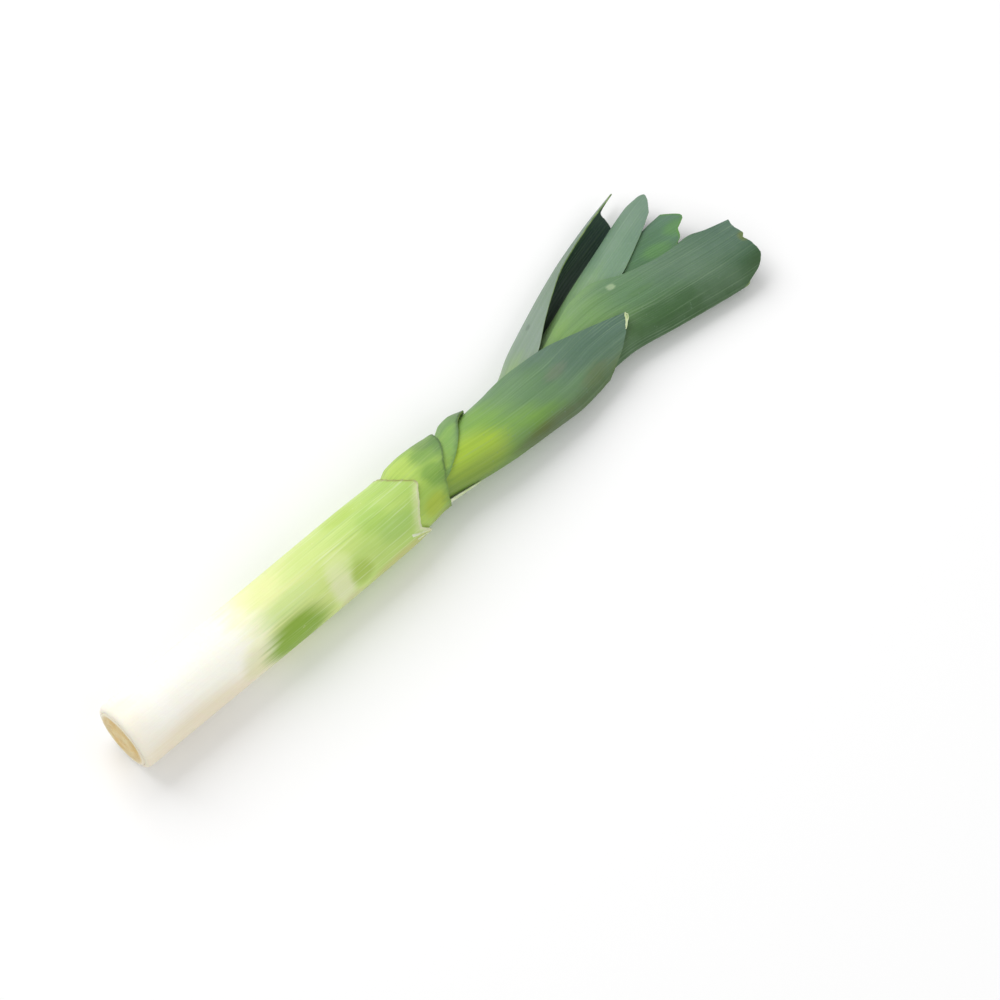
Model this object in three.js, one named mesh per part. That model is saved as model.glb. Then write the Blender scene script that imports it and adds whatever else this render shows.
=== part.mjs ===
// A leek that lies on its side: a round white shaft with a cut root plate, three trimmed sheaths
// and a fan of cut leaves that are folded along their keels and nest in one another.
// Millimetres. +X runs along the shaft from the roots to the leaf tips, +Y points to the side that
// the fan leans to, +Z points up. The origin is under the middle of the whole leek.
import * as THREE from "three";

// Sizes of the shaft. Each list holds pairs of a distance along X and a value there.
const SHAFT_LEFT = [[0, 18.5], [94, 19.0], [150, 19.4], [180, 18.9], [200, 18.8]];
const SHAFT_RIGHT = [[0, -18.5], [102, -18.6], [150, -18.3], [171, -17.9], [186, -16.6], [200, -15.6]];
const SHAFT_HALF_HEIGHT = [[0, 18.5], [94, 18.8], [150, 18.9], [170, 18.5], [186, 17.7], [200, 17.2]];
const SHAFT_WALL = 1.1;
const SHAFT_SECTORS = 40;
const SHAFT_STATIONS = [12, 26, 42, 60, 80, 100, 120, 140, 156, 166];
const RIM_STEPS = 4;
// The rounded edge of the root end: how far in from the cut, and how deep under the full radius
const ROOT_EDGE = [
  { x: 0, depth: 2.0 }, { x: 0.4, depth: 1.1 }, { x: 1.3, depth: 0.35 }, { x: 2.8, depth: 0 },
];
const POCKET_FLOOR = 168.0;
const POCKET_MIDDLE_Y = 0.6;
const TUBE_START = 168.4;
// The axis lies a little lower than the shaft is high, which leaves a narrow flat spot underneath
const AXIS_HEIGHT = 18.35;

// Sizes of the root plate and of the shallow seat that holds it
const PLATE = {
  radius: 15.6, seatRadius: 15.9, thickness: 2.6, seatDepth: 2.0, seatGap: 0.3, dome: 0.5,
};
const PLATE_SECTORS = 40;
const PLATE_BACK_BEVEL = 0.4;
const PLATE_FRONT_EDGE = { start: 0.9, end: 0.25, inset: 0.8 };
// The rings of the domed cut face: shares of the radius, and of the dome's height there
const PLATE_FACE_RINGS = [{ radius: 0.7, dome: 0.4 }, { radius: 0.35, dome: 0.9 }];

// Trimmed rims of the sheaths. Each pair holds an angle in degrees, counted from the left side over
// the top, and the distance along X at which the sheath ends there.
const FIRST_RIM = [
  [0, 177.2], [20, 177], [60, 179.5], [83, 185.5], [96, 188.6], [111, 185.5], [138, 179.5],
  [157, 177.3], [170, 179.8], [194, 183.5], [230, 184.5], [275, 182], [320, 178.5], [360, 177.2],
];
const SECOND_RIM = [
  [0, 215.5], [21, 215.2], [62, 213.3], [100, 206.6], [130, 201.5], [162, 198.5], [184, 199.1],
  [225, 201], [270, 206], [320, 212.5], [360, 215.5],
];
const THIRD_RIM = [
  [0, 238], [19, 236.8], [58, 226.9], [84, 219.3], [118, 206.8], [134, 199.5], [156, 196], [184, 196],
  [225, 198.5], [270, 212], [320, 230], [360, 238],
];
const SHEATH_SECTORS = 32;
const SHEATH_STEPS = 12;
const SHEATH_THICKNESS = 0.8;
const BLADE_THICKNESS = 0.7;
const SEAM = 0.3;
// Where the leaves share their rows of corners: closest together where the sleeves open
const BASE_STATIONS = [
  TUBE_START, 186, 199, 208, 217, 227, 235, 242, 248, 253, 258, 263, 269, 276, 285, 295,
];

// Height of the fan's middle plane above the ground, and how broad the rounded sides of a leaf are
// for their height
const MIDDLE_HEIGHT = [
  [0, AXIS_HEIGHT], [186, AXIS_HEIGHT], [216, 17.7], [255, 14.7], [300, 10.8], [330, 9.4],
  [355, 8.7], [414, 8.0],
];
const SIDE_BREADTH = [[0, 3], [210, 3], [300, 2.2], [414, 2.0]];
// The long waves of the fan, and the rib that each leaf carries along its keel
const WAVE = { height: 0.7, along: 92, across: 45, from: 265, to: 350 };
const KEEL_RIB = { height: 0.7, from: 258, to: 290 };

const LEFT = 1;
const RIGHT = -1;

// The layers from the outside in. left, right and halfHeight say how far the outer face of a layer
// reaches at each distance along X, and swell how far it bulges there on its left side.
const SECOND_SHEATH = {
  left: [[168, 17.4], [190, 17.5], [205, 18.6], [217, 18.9]],
  right: [[168, -16.5], [186, -15.1], [199, -13.8], [208, -14.2], [217, -15.0]],
  halfHeight: [[168, 17.0], [186, 16.2], [205, 15.5], [217, 15.3]],
  swell: [[177.5, 0], [179.5, 0.3], [182, 1.7], [186, 3.5], [193.5, 4.2], [201.5, 3.3], [208, 2.4],
    [213, 1.3], [217, 0.4]],
  rim: SECOND_RIM,
};
const THIRD_SHEATH = {
  left: [[168, 16.2], [190, 16.3], [216, 17.7], [238, 19.5]],
  right: [[168, -15.3], [186, -13.9], [199, -12.6], [208, -13.5], [217, -14.9], [238, -17.6]],
  halfHeight: [[168, 15.8], [186, 15.0], [205, 14.3], [238, 13.9]],
  swell: [[210, 0], [215.5, 0.2], [218, 1.3], [222.5, 3.4], [228, 3.7], [231, 2.9], [234, 1.4],
    [236.5, 0.2], [238, 0]],
  rim: THIRD_RIM,
};
const FRONT_LEAF = {
  keel: RIGHT,
  left: [[168, 15.0], [190, 15.1], [216, 16.3], [237, 18.1], [250, 19.4], [257, 21.0], [263, 23.5],
    [274, 30.0], [288, 36.1], [302, 41.8], [318, 48.3], [340, 55.5]],
  right: [[168, -14.1], [186, -12.7], [199, -11.4], [208, -12.3], [217, -13.7], [232, -15.6],
    [246, -16.6], [280, -17.3], [298, -15.3], [306, -14.0], [323, -13.4], [340, -15.2]],
  halfHeight: [[168, 14.6], [186, 13.8], [216, 13.1], [255, 12.4], [300, 11.4], [340, 11.0]],
  upper: {
    mouth: 250,
    margin: [[250, 19.2], [257, 19.0], [272, 17.7], [286, 16.8], [311, 11.4], [336, 4.6]],
    end: [[0, 305.5], [0.32, 319.9], [0.63, 328.5], [1, 334.7]],
  },
  lower: {
    mouth: 252,
    margin: [[252, 19.3], [265, 16], [300, 9], [334, 2]],
    end: [[0, 305.5], [0.4, 313], [1, 320]],
  },
  farStations: [],
  tailSteps: 5,
  across: 20,
};
const LEFT_LEAF = {
  keel: LEFT,
  left: [[168, 13.8], [190, 13.9], [216, 15.1], [237, 16.8], [250, 17.9], [257, 19.3], [263, 21.8],
    [274.4, 28.2], [288.3, 34.3], [302.2, 40.1], [318.5, 46.6], [334.6, 52.4], [357.4, 58.4],
    [384, 64.4]],
  right: [[168, -12.9], [186, -11.5], [199, -10.2], [208, -11.1], [217, -12.5], [232, -14.3],
    [246, -15.3], [280, -15.9], [298, -13.9], [306, -12.6], [323, -12.0], [352, -16.0], [384, -20.5]],
  halfHeight: [[168, 13.4], [186, 12.6], [216, 11.9], [255, 11.1], [300, 9.9], [345, 9.5], [384, 9.2]],
  upper: {
    mouth: 236,
    margin: [[236, -13.8], [246, -12], [256, -5], [272, 9], [287.7, 18.3], [301.4, 28.6], [314, 37.1],
      [332.7, 48.2], [360, 57.6], [384, 64.0]],
    end: [[0, 382.7], [0.5, 381], [1, 378]],
  },
  lower: {
    mouth: 248,
    margin: [[248, -15.2], [257, -13], [269, -4], [292, 8], [345, 22], [384, 34]],
    end: [[0, 382.7], [0.08, 371], [0.2, 371.5], [0.4, 371], [0.7, 366], [1, 360]],
  },
  farStations: [307, 319, 331, 345],
  tailSteps: 4,
  across: 20,
};
const LONG_LEAF = {
  keel: RIGHT,
  left: [[168, 12.6], [190, 12.7], [216, 13.9], [237, 15.4], [250, 16.5], [257, 17.9], [270, 20.6],
    [285, 24.0], [304, 29.6], [330, 38.5], [355, 46.7], [384, 54.6], [414, 60.5]],
  right: [[168, -11.7], [186, -10.3], [199, -9.0], [208, -9.9], [217, -11.2], [232, -12.9],
    [246, -13.7], [280, -14.3], [298, -12.2], [306, -11.0], [322.8, -10.2], [352.6, -14.4],
    [379.4, -18.6], [394, -20.7], [414, -22.6]],
  halfHeight: [[168, 12.2], [186, 11.4], [216, 10.7], [255, 9.8], [300, 8.5], [345, 8.1], [414, 7.6]],
  upper: {
    mouth: 252,
    margin: [[252, 16.4], [266, 16.0], [288, 18.3], [306, 24.8], [322, 29.6], [332, 29.8],
      [341, 26.4], [349.7, 22.5], [379, 16.9], [388.9, 17.1], [399.5, 13.6], [414, 9.7]],
    end: [[0, 394], [0.08, 401], [0.15, 406.5], [0.31, 411.3], [0.5, 411.6], [0.62, 410.4],
      [0.7, 412.6], [0.86, 411.6], [1, 412.9]],
  },
  lower: {
    mouth: 248,
    margin: [[248, 15.8], [264, 12.5], [300, 8], [350, 5], [414, -2]],
    end: [[0, 394], [0.12, 399], [0.5, 404], [1, 401]],
  },
  farStations: [306, 316, 326, 334, 342, 350, 362, 376],
  tailSteps: 3,
  across: 20,
};
const ROUND_LEAF = {
  keel: LEFT,
  left: [[168, 11.4], [190, 11.5], [216, 12.7], [237, 13.8], [250, 14.9], [257, 16.2], [270, 18.9],
    [285, 22.3], [304, 28.0], [330, 36.9], [355.5, 45.1], [383.6, 53.0], [396, 55.4]],
  right: [[168, -10.5], [186, -9.1], [199, -7.8], [208, -8.7], [217, -10.0], [232, -11.6],
    [246, -12.3], [280, -12.9], [298, -10.8], [306, -9.6], [323, -8.9], [352, -12.8], [379, -17.0],
    [396, -19.2]],
  halfHeight: [[168, 11.0], [186, 10.2], [216, 9.5], [255, 8.5], [300, 7.1], [345, 6.7], [396, 6.3]],
  upper: {
    mouth: 232,
    margin: [[232, -11.2], [244, -10.4], [262, -4], [304, 9], [350, 23.2], [368.6, 31.8],
      [379, 36.9], [386.8, 41.2], [396, 46.2]],
    end: [[0, 380], [0.1, 383.2], [0.16, 385.5], [0.27, 390], [0.49, 392.5], [0.7, 391.4],
      [0.85, 389.2], [1, 386.2]],
  },
  lower: {
    mouth: 246,
    margin: [[246, -12.2], [256, -10.5], [270, -2], [304, 14], [396, 45]],
    end: [[0, 380], [0.4, 385], [1, 378]],
  },
  farStations: [308, 324, 340, 356, 370],
  tailSteps: 3,
  across: 18,
};
const DARK_LEAF = {
  keel: RIGHT,
  left: [[168, 10.2], [190, 10.3], [216, 11.4], [237, 12.4], [250, 13.4], [257, 14.7], [270, 17.2],
    [285, 20.4], [304, 25.6], [330, 33.6], [364, 41.0], [400, 45.5]],
  right: [[168, -9.3], [186, -7.9], [199, -6.6], [208, -7.5], [217, -8.8], [232, -10.3], [246, -11.0],
    [280, -11.5], [298, -9.4], [306, -8.3], [323, -7.7], [352, -11.3], [379, -15.4], [400, -18.2]],
  halfHeight: [[168, 9.8], [186, 9.0], [216, 8.3], [255, 7.2], [300, 5.7], [345, 5.3], [400, 5.0]],
  upper: {
    mouth: 252,
    margin: [[252, 13.5], [272, 16], [304, 22], [350, 30.5], [383, 36.3], [400, 36.6]],
    end: [[0, 384], [0.5, 384], [0.6, 380.5], [0.663, 383.8], [0.716, 389.2], [0.79, 391.4],
      [0.835, 397.1], [0.86, 398.3], [1, 390]],
  },
  lower: {
    mouth: 252,
    margin: [[252, 13.0], [272, 13], [400, 22]],
    end: [[0, 384], [0.5, 390], [1, 380]],
  },
  farStations: [310, 328, 346, 362],
  tailSteps: 3,
  across: 24,
};
const INNER_LEAF = {
  keel: LEFT,
  left: [[168, 9.0], [190, 9.1], [216, 10.1], [237, 11.0], [250, 12.0], [257, 13.1], [270, 15.2],
    [304, 22.0], [345, 30.0], [392, 36.0]],
  right: [[168, -8.1], [186, -6.7], [199, -5.4], [208, -6.3], [217, -7.5], [232, -8.9], [246, -9.6],
    [280, -10.0], [298, -7.9], [306, -6.8], [323, -6.2], [352, -9.6], [392, -14.6]],
  halfHeight: [[168, 8.6], [186, 7.8], [216, 7.0], [255, 5.8], [300, 4.3], [345, 3.9], [392, 3.6]],
  upper: {
    mouth: 256,
    margin: [[256, -9.4], [290, -6], [345, 4], [392, 8]],
    end: [[0, 382], [0.4, 386.5], [0.75, 385], [1, 378]],
  },
  lower: {
    mouth: 256,
    margin: [[256, -9.4], [290, -4], [392, 6]],
    end: [[0, 382], [0.5, 385], [1, 375]],
  },
  farStations: [310, 328, 346, 362],
  tailSteps: 2,
  across: 14,
};

const CURVE_STEPS = 10;

// A smooth curve through pairs that never overshoots between two of them
function curveThrough(pairs) {
  const count = pairs.length;
  const slopes = [];
  for (let i = 0; i < count - 1; i++) {
    slopes.push((pairs[i + 1][1] - pairs[i][1]) / (pairs[i + 1][0] - pairs[i][0]));
  }
  const tangents = pairs.map((_, i) => {
    if (i === 0) {
      return slopes[0];
    }
    if (i === count - 1) {
      return slopes[count - 2];
    }
    const before = slopes[i - 1];
    const after = slopes[i];
    return before * after <= 0 ? 0 : (2 * before * after) / (before + after);
  });
  return (at) => {
    if (at <= pairs[0][0]) {
      return pairs[0][1];
    }
    if (at >= pairs[count - 1][0]) {
      return pairs[count - 1][1];
    }
    let i = 0;
    while (at > pairs[i + 1][0]) {
      i++;
    }
    const span = pairs[i + 1][0] - pairs[i][0];
    const u = (at - pairs[i][0]) / span;
    const rest = 1 - u;
    return (
      pairs[i][1] * rest * rest * (1 + 2 * u) +
      pairs[i + 1][1] * u * u * (3 - 2 * u) +
      span * u * rest * (tangents[i] * rest - tangents[i + 1] * u)
    );
  };
}

const middleHeight = curveThrough(MIDDLE_HEIGHT);
const sideBreadth = curveThrough(SIDE_BREADTH);

// Rises from nothing to one between two distances along X
function rise(x, from, to) {
  const share = THREE.MathUtils.clamp((x - from) / (to - from), 0, 1);
  return share * share * (3 - 2 * share);
}

// How far the waves lift every layer of the fan at one place
function waveHeight(x, y) {
  const turn = 2 * Math.PI * (x / WAVE.along + y / WAVE.across);
  return WAVE.height * rise(x, WAVE.from, WAVE.to) * Math.sin(turn);
}

// Collects the corners and triangles of one closed piece
class Piece {
  constructor() {
    this.corners = [];
    this.triangles = [];
  }

  corner(x, y, z) {
    this.corners.push(x, y, z);
    return this.corners.length / 3 - 1;
  }

  triangle(a, b, c) {
    this.triangles.push(a, b, c);
  }

  // Two triangles between four corners in turn. Turned round, they keep the same diagonal.
  panel(a, b, c, d, turned) {
    if (turned) {
      this.triangle(a, c, b);
      this.triangle(a, d, c);
    } else {
      this.triangle(a, b, c);
      this.triangle(a, c, d);
    }
  }

  // Panels between two rows of corners. A closed row joins its last corner to its first.
  strip(first, second, { closed = false, turned = false } = {}) {
    const count = first.length;
    const last = closed ? count : count - 1;
    for (let i = 0; i < last; i++) {
      const next = (i + 1) % count;
      this.panel(first[i], second[i], second[next], first[next], turned);
    }
  }

  geometry() {
    const made = new THREE.BufferGeometry();
    made.setAttribute("position", new THREE.Float32BufferAttribute(this.corners, 3));
    made.setIndex(this.triangles);
    made.computeVertexNormals();
    return made;
  }
}

// The outline of a layer at one distance along X
class Outline {
  constructor(layer) {
    this.left = curveThrough(layer.left);
    this.right = curveThrough(layer.right);
    this.halfHeight = curveThrough(layer.halfHeight);
    this.swell = curveThrough(layer.swell ?? [[0, 0]]);
  }

  // A point on the full ring, at an angle in degrees from the left side over the top, set in by a depth
  ringPoint(x, degrees, depth) {
    const angle = THREE.MathUtils.degToRad(degrees);
    const middle = (this.left(x) + this.right(x)) / 2;
    const reach = (this.left(x) - this.right(x)) / 2 - depth;
    const height = this.halfHeight(x) - depth;
    const bulge = this.swell(x) * Math.max(Math.cos(angle), 0) ** 2;
    return [
      x,
      middle + reach * Math.cos(angle) + bulge,
      middleHeight(x) + height * Math.sin(angle),
    ];
  }
}

// Half of a folded leaf's outline at one distance along X, from the keel to the far side
function armOutline(outline, keel, x) {
  const left = outline.left(x);
  const right = outline.right(x);
  const height = outline.halfHeight(x);
  const side = Math.min(sideBreadth(x) * height, (left - right) / 2);
  const nearMiddle = keel === LEFT ? left - side : right + side;
  const farMiddle = keel === LEFT ? right + side : left - side;
  const points = [];
  for (let i = 0; i <= CURVE_STEPS; i++) {
    const angle = ((i / CURVE_STEPS) * Math.PI) / 2;
    const out = Math.cos(angle);
    const up = Math.sin(angle);
    points.push({
      y: nearMiddle + keel * side * out,
      z: height * up,
      out: (keel * out) / side,
      up: up / height,
    });
  }
  for (let i = CURVE_STEPS; i >= 0; i--) {
    const angle = ((i / CURVE_STEPS) * Math.PI) / 2;
    const out = Math.cos(angle);
    const up = Math.sin(angle);
    points.push({
      y: farMiddle - keel * side * out,
      z: height * up,
      out: (-keel * out) / side,
      up: up / height,
    });
  }
  let length = 0;
  points.forEach((point, i) => {
    if (i > 0) {
      length += Math.hypot(point.y - points[i - 1].y, point.z - points[i - 1].z);
    }
    point.length = length;
  });
  return points;
}

// How far along an arm's outline its margin lies
function armReach(points, keel, marginY) {
  const full = points[points.length - 1].length - SEAM / 2;
  for (let i = 1; i < points.length; i++) {
    if (keel * (points[i].y - marginY) <= 0) {
      const before = points[i - 1];
      const share = (before.y - marginY) / (before.y - points[i].y || 1);
      return Math.min(full, before.length + share * (points[i].length - before.length));
    }
  }
  return full;
}

// The point at a length along an arm's outline, with the outward direction there
function pointAlong(points, length) {
  let i = 1;
  while (i < points.length - 1 && points[i].length < length) {
    i++;
  }
  const before = points[i - 1];
  const after = points[i];
  const share = (length - before.length) / (after.length - before.length || 1);
  const mix = (name) => before[name] + share * (after[name] - before[name]);
  const size = Math.hypot(mix("out"), mix("up"));
  return { y: mix("y"), z: mix("z"), out: mix("out") / size, up: mix("up") / size };
}

// A sheath: a closed sleeve whose far rim follows a trimmed line
function sheathGeometry(layer) {
  const outline = new Outline(layer);
  const rim = curveThrough(layer.rim);
  const piece = new Piece();
  const row = (share, depth) => {
    const corners = [];
    for (let i = 0; i < SHEATH_SECTORS; i++) {
      const degrees = (360 * i) / SHEATH_SECTORS;
      const x = TUBE_START + share * (rim(degrees) - TUBE_START);
      corners.push(piece.corner(...outline.ringPoint(x, degrees, depth)));
    }
    return corners;
  };
  const outer = [];
  const inner = [];
  for (let i = 0; i <= SHEATH_STEPS; i++) {
    outer.push(row(i / SHEATH_STEPS, 0));
    inner.push(row(i / SHEATH_STEPS, SHEATH_THICKNESS));
  }
  for (let i = 0; i < SHEATH_STEPS; i++) {
    piece.strip(outer[i], outer[i + 1], { closed: true, turned: true });
    piece.strip(inner[i], inner[i + 1], { closed: true });
  }
  piece.strip(outer[0], inner[0], { closed: true });
  piece.strip(inner[SHEATH_STEPS], outer[SHEATH_STEPS], { closed: true });
  return piece.geometry();
}

// A leaf: a sleeve at its base that opens on the side away from its keel into an upper and a lower arm
function leafGeometry(leaf) {
  const outline = new Outline(leaf);
  const arms = [leaf.lower, leaf.upper].map((arm, i) => ({
    sign: i === 0 ? -1 : 1,
    mouth: arm.mouth,
    margin: curveThrough(arm.margin),
    end: curveThrough(arm.end),
  }));
  const piece = new Piece();
  const outer = [];
  const inner = [];
  const stations = [...BASE_STATIONS, ...leaf.farStations];
  const lastStation = stations[stations.length - 1];
  const steps = stations.length - 1 + leaf.tailSteps;
  for (let i = 0; i <= steps; i++) {
    const tail = (i - stations.length + 1) / leaf.tailSteps;
    const outerRow = [];
    const innerRow = [];
    for (let j = 0; j <= leaf.across; j++) {
      const turn = (2 * j) / leaf.across - 1;
      const arm = turn < 0 ? arms[0] : arms[1];
      const share = Math.abs(turn);
      const x = tail > 0 ? lastStation + tail * (arm.end(share) - lastStation) : stations[i];
      const points = armOutline(outline, leaf.keel, x);
      const marginY = x < arm.mouth ? -leaf.keel * 1000 : arm.margin(x);
      const at = pointAlong(points, share * armReach(points, leaf.keel, marginY));
      const middle = middleHeight(x) + waveHeight(x, at.y);
      const rib = share === 0 ? KEEL_RIB.height * rise(x, KEEL_RIB.from, KEEL_RIB.to) : 0;
      const outerZ = middle + arm.sign * at.z;
      const innerZ = middle + arm.sign * (at.z - BLADE_THICKNESS * at.up);
      outerRow.push(piece.corner(x, at.y + rib * at.out, Math.max(outerZ, 0)));
      innerRow.push(piece.corner(x, at.y - BLADE_THICKNESS * at.out, Math.max(innerZ, BLADE_THICKNESS)));
    }
    outer.push(outerRow);
    inner.push(innerRow);
  }
  const facing = { turned: leaf.keel === LEFT };
  const away = { turned: leaf.keel === RIGHT };
  const edge = (rows, j) => rows.map((row) => row[j]);
  for (let i = 0; i < steps; i++) {
    piece.strip(outer[i], outer[i + 1], facing);
    piece.strip(inner[i], inner[i + 1], away);
  }
  piece.strip(inner[0], outer[0], facing);
  piece.strip(outer[steps], inner[steps], facing);
  piece.strip(edge(outer, 0), edge(inner, 0), facing);
  piece.strip(edge(inner, leaf.across), edge(outer, leaf.across), facing);
  return piece.geometry();
}

// The shaft: solid from the root end to the pocket floor, then a thin wall up to its trimmed rim
function shaftGeometry() {
  const outline = new Outline({
    left: SHAFT_LEFT,
    right: SHAFT_RIGHT,
    halfHeight: SHAFT_HALF_HEIGHT,
  });
  const rim = curveThrough(FIRST_RIM);
  const piece = new Piece();
  const row = (xAt, depth) => {
    const corners = [];
    for (let i = 0; i < SHAFT_SECTORS; i++) {
      const degrees = (360 * i) / SHAFT_SECTORS;
      const [x, y, z] = outline.ringPoint(xAt(degrees), degrees, depth);
      corners.push(piece.corner(x, y, Math.max(z, 0)));
    }
    return corners;
  };
  const disc = (x, radius) => {
    const corners = [];
    for (let i = 0; i < SHAFT_SECTORS; i++) {
      const angle = (2 * Math.PI * i) / SHAFT_SECTORS;
      corners.push(piece.corner(x, radius * Math.cos(angle), AXIS_HEIGHT + radius * Math.sin(angle)));
    }
    return corners;
  };
  const outerRows = ROOT_EDGE.map(({ x, depth }) => row(() => x, depth));
  SHAFT_STATIONS.forEach((x) => outerRows.push(row(() => x, 0)));
  const lastStation = SHAFT_STATIONS[SHAFT_STATIONS.length - 1];
  for (let i = 1; i <= RIM_STEPS; i++) {
    outerRows.push(row((degrees) => lastStation + (i / RIM_STEPS) * (rim(degrees) - lastStation), 0));
  }
  for (let i = 0; i < outerRows.length - 1; i++) {
    piece.strip(outerRows[i + 1], outerRows[i], { closed: true });
  }
  const innerRows = [];
  for (let i = 0; i <= RIM_STEPS; i++) {
    const share = 1 - i / RIM_STEPS;
    innerRows.push(row((degrees) => POCKET_FLOOR + share * (rim(degrees) - POCKET_FLOOR), SHAFT_WALL));
  }
  piece.strip(innerRows[0], outerRows[outerRows.length - 1], { closed: true });
  for (let i = 0; i < RIM_STEPS; i++) {
    piece.strip(innerRows[i + 1], innerRows[i], { closed: true });
  }
  const floorMiddle = piece.corner(POCKET_FLOOR, POCKET_MIDDLE_Y, AXIS_HEIGHT);
  const floorRow = innerRows[RIM_STEPS];
  floorRow.forEach((corner, i) => {
    piece.triangle(corner, floorRow[(i + 1) % SHAFT_SECTORS], floorMiddle);
  });
  const seatMouth = disc(0, PLATE.seatRadius);
  const seatFoot = disc(PLATE.seatDepth, PLATE.seatRadius);
  const seatMiddle = piece.corner(PLATE.seatDepth, 0, AXIS_HEIGHT);
  piece.strip(outerRows[0], seatMouth, { closed: true });
  piece.strip(seatMouth, seatFoot, { closed: true });
  seatFoot.forEach((corner, i) => {
    piece.triangle(corner, seatMiddle, seatFoot[(i + 1) % SHAFT_SECTORS]);
  });
  return piece.geometry();
}

// The root plate: a thick disc with rounded edges and a slightly domed cut face
function plateGeometry() {
  const back = PLATE.seatDepth - PLATE.seatGap;
  const front = back - PLATE.thickness;
  const rings = [
    { x: back, radius: PLATE.radius - PLATE_BACK_BEVEL },
    { x: back - PLATE_BACK_BEVEL, radius: PLATE.radius },
    { x: front + PLATE_FRONT_EDGE.start, radius: PLATE.radius },
    { x: front + PLATE_FRONT_EDGE.end, radius: PLATE.radius - PLATE_FRONT_EDGE.inset },
    ...PLATE_FACE_RINGS.map(({ radius, dome }) => ({
      x: front - PLATE.dome * dome,
      radius: PLATE.radius * radius,
    })),
  ];
  const piece = new Piece();
  const rows = rings.map((ring) => {
    const corners = [];
    for (let i = 0; i < PLATE_SECTORS; i++) {
      const angle = (2 * Math.PI * i) / PLATE_SECTORS;
      corners.push(
        piece.corner(ring.x, ring.radius * Math.cos(angle), AXIS_HEIGHT + ring.radius * Math.sin(angle)),
      );
    }
    return corners;
  });
  for (let i = 0; i < rows.length - 1; i++) {
    piece.strip(rows[i], rows[i + 1], { closed: true });
  }
  const backMiddle = piece.corner(back, 0, AXIS_HEIGHT);
  const frontMiddle = piece.corner(front - PLATE.dome, 0, AXIS_HEIGHT);
  const lastRow = rows[rows.length - 1];
  for (let i = 0; i < PLATE_SECTORS; i++) {
    const next = (i + 1) % PLATE_SECTORS;
    piece.triangle(rows[0][i], rows[0][next], backMiddle);
    piece.triangle(lastRow[i], frontMiddle, lastRow[next]);
  }
  return piece.geometry();
}

const PIECES = [
  { name: "root_plate", colour: 0xc9a964, make: plateGeometry },
  { name: "shaft", colour: 0xe9ecd2, make: shaftGeometry },
  { name: "sheath_second", colour: 0x8fb06a, make: () => sheathGeometry(SECOND_SHEATH) },
  { name: "sheath_third", colour: 0x86a862, make: () => sheathGeometry(THIRD_SHEATH) },
  { name: "leaf_front", colour: 0x6f9470, make: () => leafGeometry(FRONT_LEAF) },
  { name: "leaf_left", colour: 0x8ea593, make: () => leafGeometry(LEFT_LEAF) },
  { name: "leaf_long", colour: 0x5f8268, make: () => leafGeometry(LONG_LEAF) },
  { name: "leaf_round", colour: 0x7c967c, make: () => leafGeometry(ROUND_LEAF) },
  { name: "leaf_dark", colour: 0x35503a, make: () => leafGeometry(DARK_LEAF) },
  { name: "leaf_inner", colour: 0x93a657, make: () => leafGeometry(INNER_LEAF) },
];

const leek = new THREE.Group();
leek.name = "leek";
for (const { name, colour, make } of PIECES) {
  const material = new THREE.MeshStandardMaterial({ color: colour, roughness: 0.6, metalness: 0 });
  const mesh = new THREE.Mesh(make(), material);
  mesh.name = name;
  leek.add(mesh);
}

// Moves the whole leek so that the origin is under the middle of it, on the ground
const bounds = new THREE.Box3().setFromObject(leek);
const middle = bounds.getCenter(new THREE.Vector3());
leek.children.forEach((mesh) => mesh.geometry.translate(-middle.x, -middle.y, -bounds.min.z));

export default leek;
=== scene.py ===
"""A leek lying on its side: fine leaves, sheaths, shaft and root plate over the plain solids."""

import logging
import math
from collections.abc import Callable, Sequence
from dataclasses import dataclass, field
from enum import Enum

import bmesh
import bpy
from mathutils import Matrix, Vector


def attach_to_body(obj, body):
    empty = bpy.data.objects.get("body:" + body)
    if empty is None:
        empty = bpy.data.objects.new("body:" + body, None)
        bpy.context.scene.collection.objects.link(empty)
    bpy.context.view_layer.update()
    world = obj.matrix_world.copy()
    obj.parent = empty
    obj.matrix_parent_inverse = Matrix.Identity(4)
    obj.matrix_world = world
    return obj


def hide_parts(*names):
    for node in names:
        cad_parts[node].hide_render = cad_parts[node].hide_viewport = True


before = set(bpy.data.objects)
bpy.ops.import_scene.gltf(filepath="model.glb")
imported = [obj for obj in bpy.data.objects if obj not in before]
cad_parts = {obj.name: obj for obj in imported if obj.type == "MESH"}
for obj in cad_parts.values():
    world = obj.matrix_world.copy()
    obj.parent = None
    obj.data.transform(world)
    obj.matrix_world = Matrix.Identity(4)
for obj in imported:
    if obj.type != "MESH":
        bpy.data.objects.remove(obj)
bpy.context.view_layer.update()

log = logging.getLogger("leek")

Colour = tuple[float, float, float]
Value = bpy.types.NodeSocket | float | Sequence[float]

# Sizes are in millimetres along and across from the middle of the root end, and up from the ground.
# The frame is in metres, with its origin on the ground under the leek's middle.
METRE = 0.001
CENTRE_X = 205.75
CENTRE_Y = 21.7
# Millimetres in one unit of the skin map and of the edge map
MAP_UNIT = 100.0
# A distance on the edge map that stands for "far from any edge"
FAR_FROM_EDGE = 1.0
# The distance from the root end at which the colour ramps end
RAMP_REACH = 420.0
# The radius that turns an angle round a sheath into a place across its skin map
SHEATH_MAP_RADIUS = 16.0
# Farther out than any leaf reaches: the margin where a leaf is still a closed sleeve
BEYOND_ANY_LEAF = 1000.0
# How far an arm's margin keeps from the far side of its outline
MARGIN_GAP = 0.15
# How the rag is spread: its length over one arm of a leaf, and the degrees of a rim in one unit of it
LEAF_RAG_LENGTH = 28.0
RIM_RAG_DEGREES = 4.0
# The last stretch before a rim, which lifts off, and the degrees in one unit of that lift's waves
FLARE_LENGTH = 6.0
FLARE_DEGREES = 9.0


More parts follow.
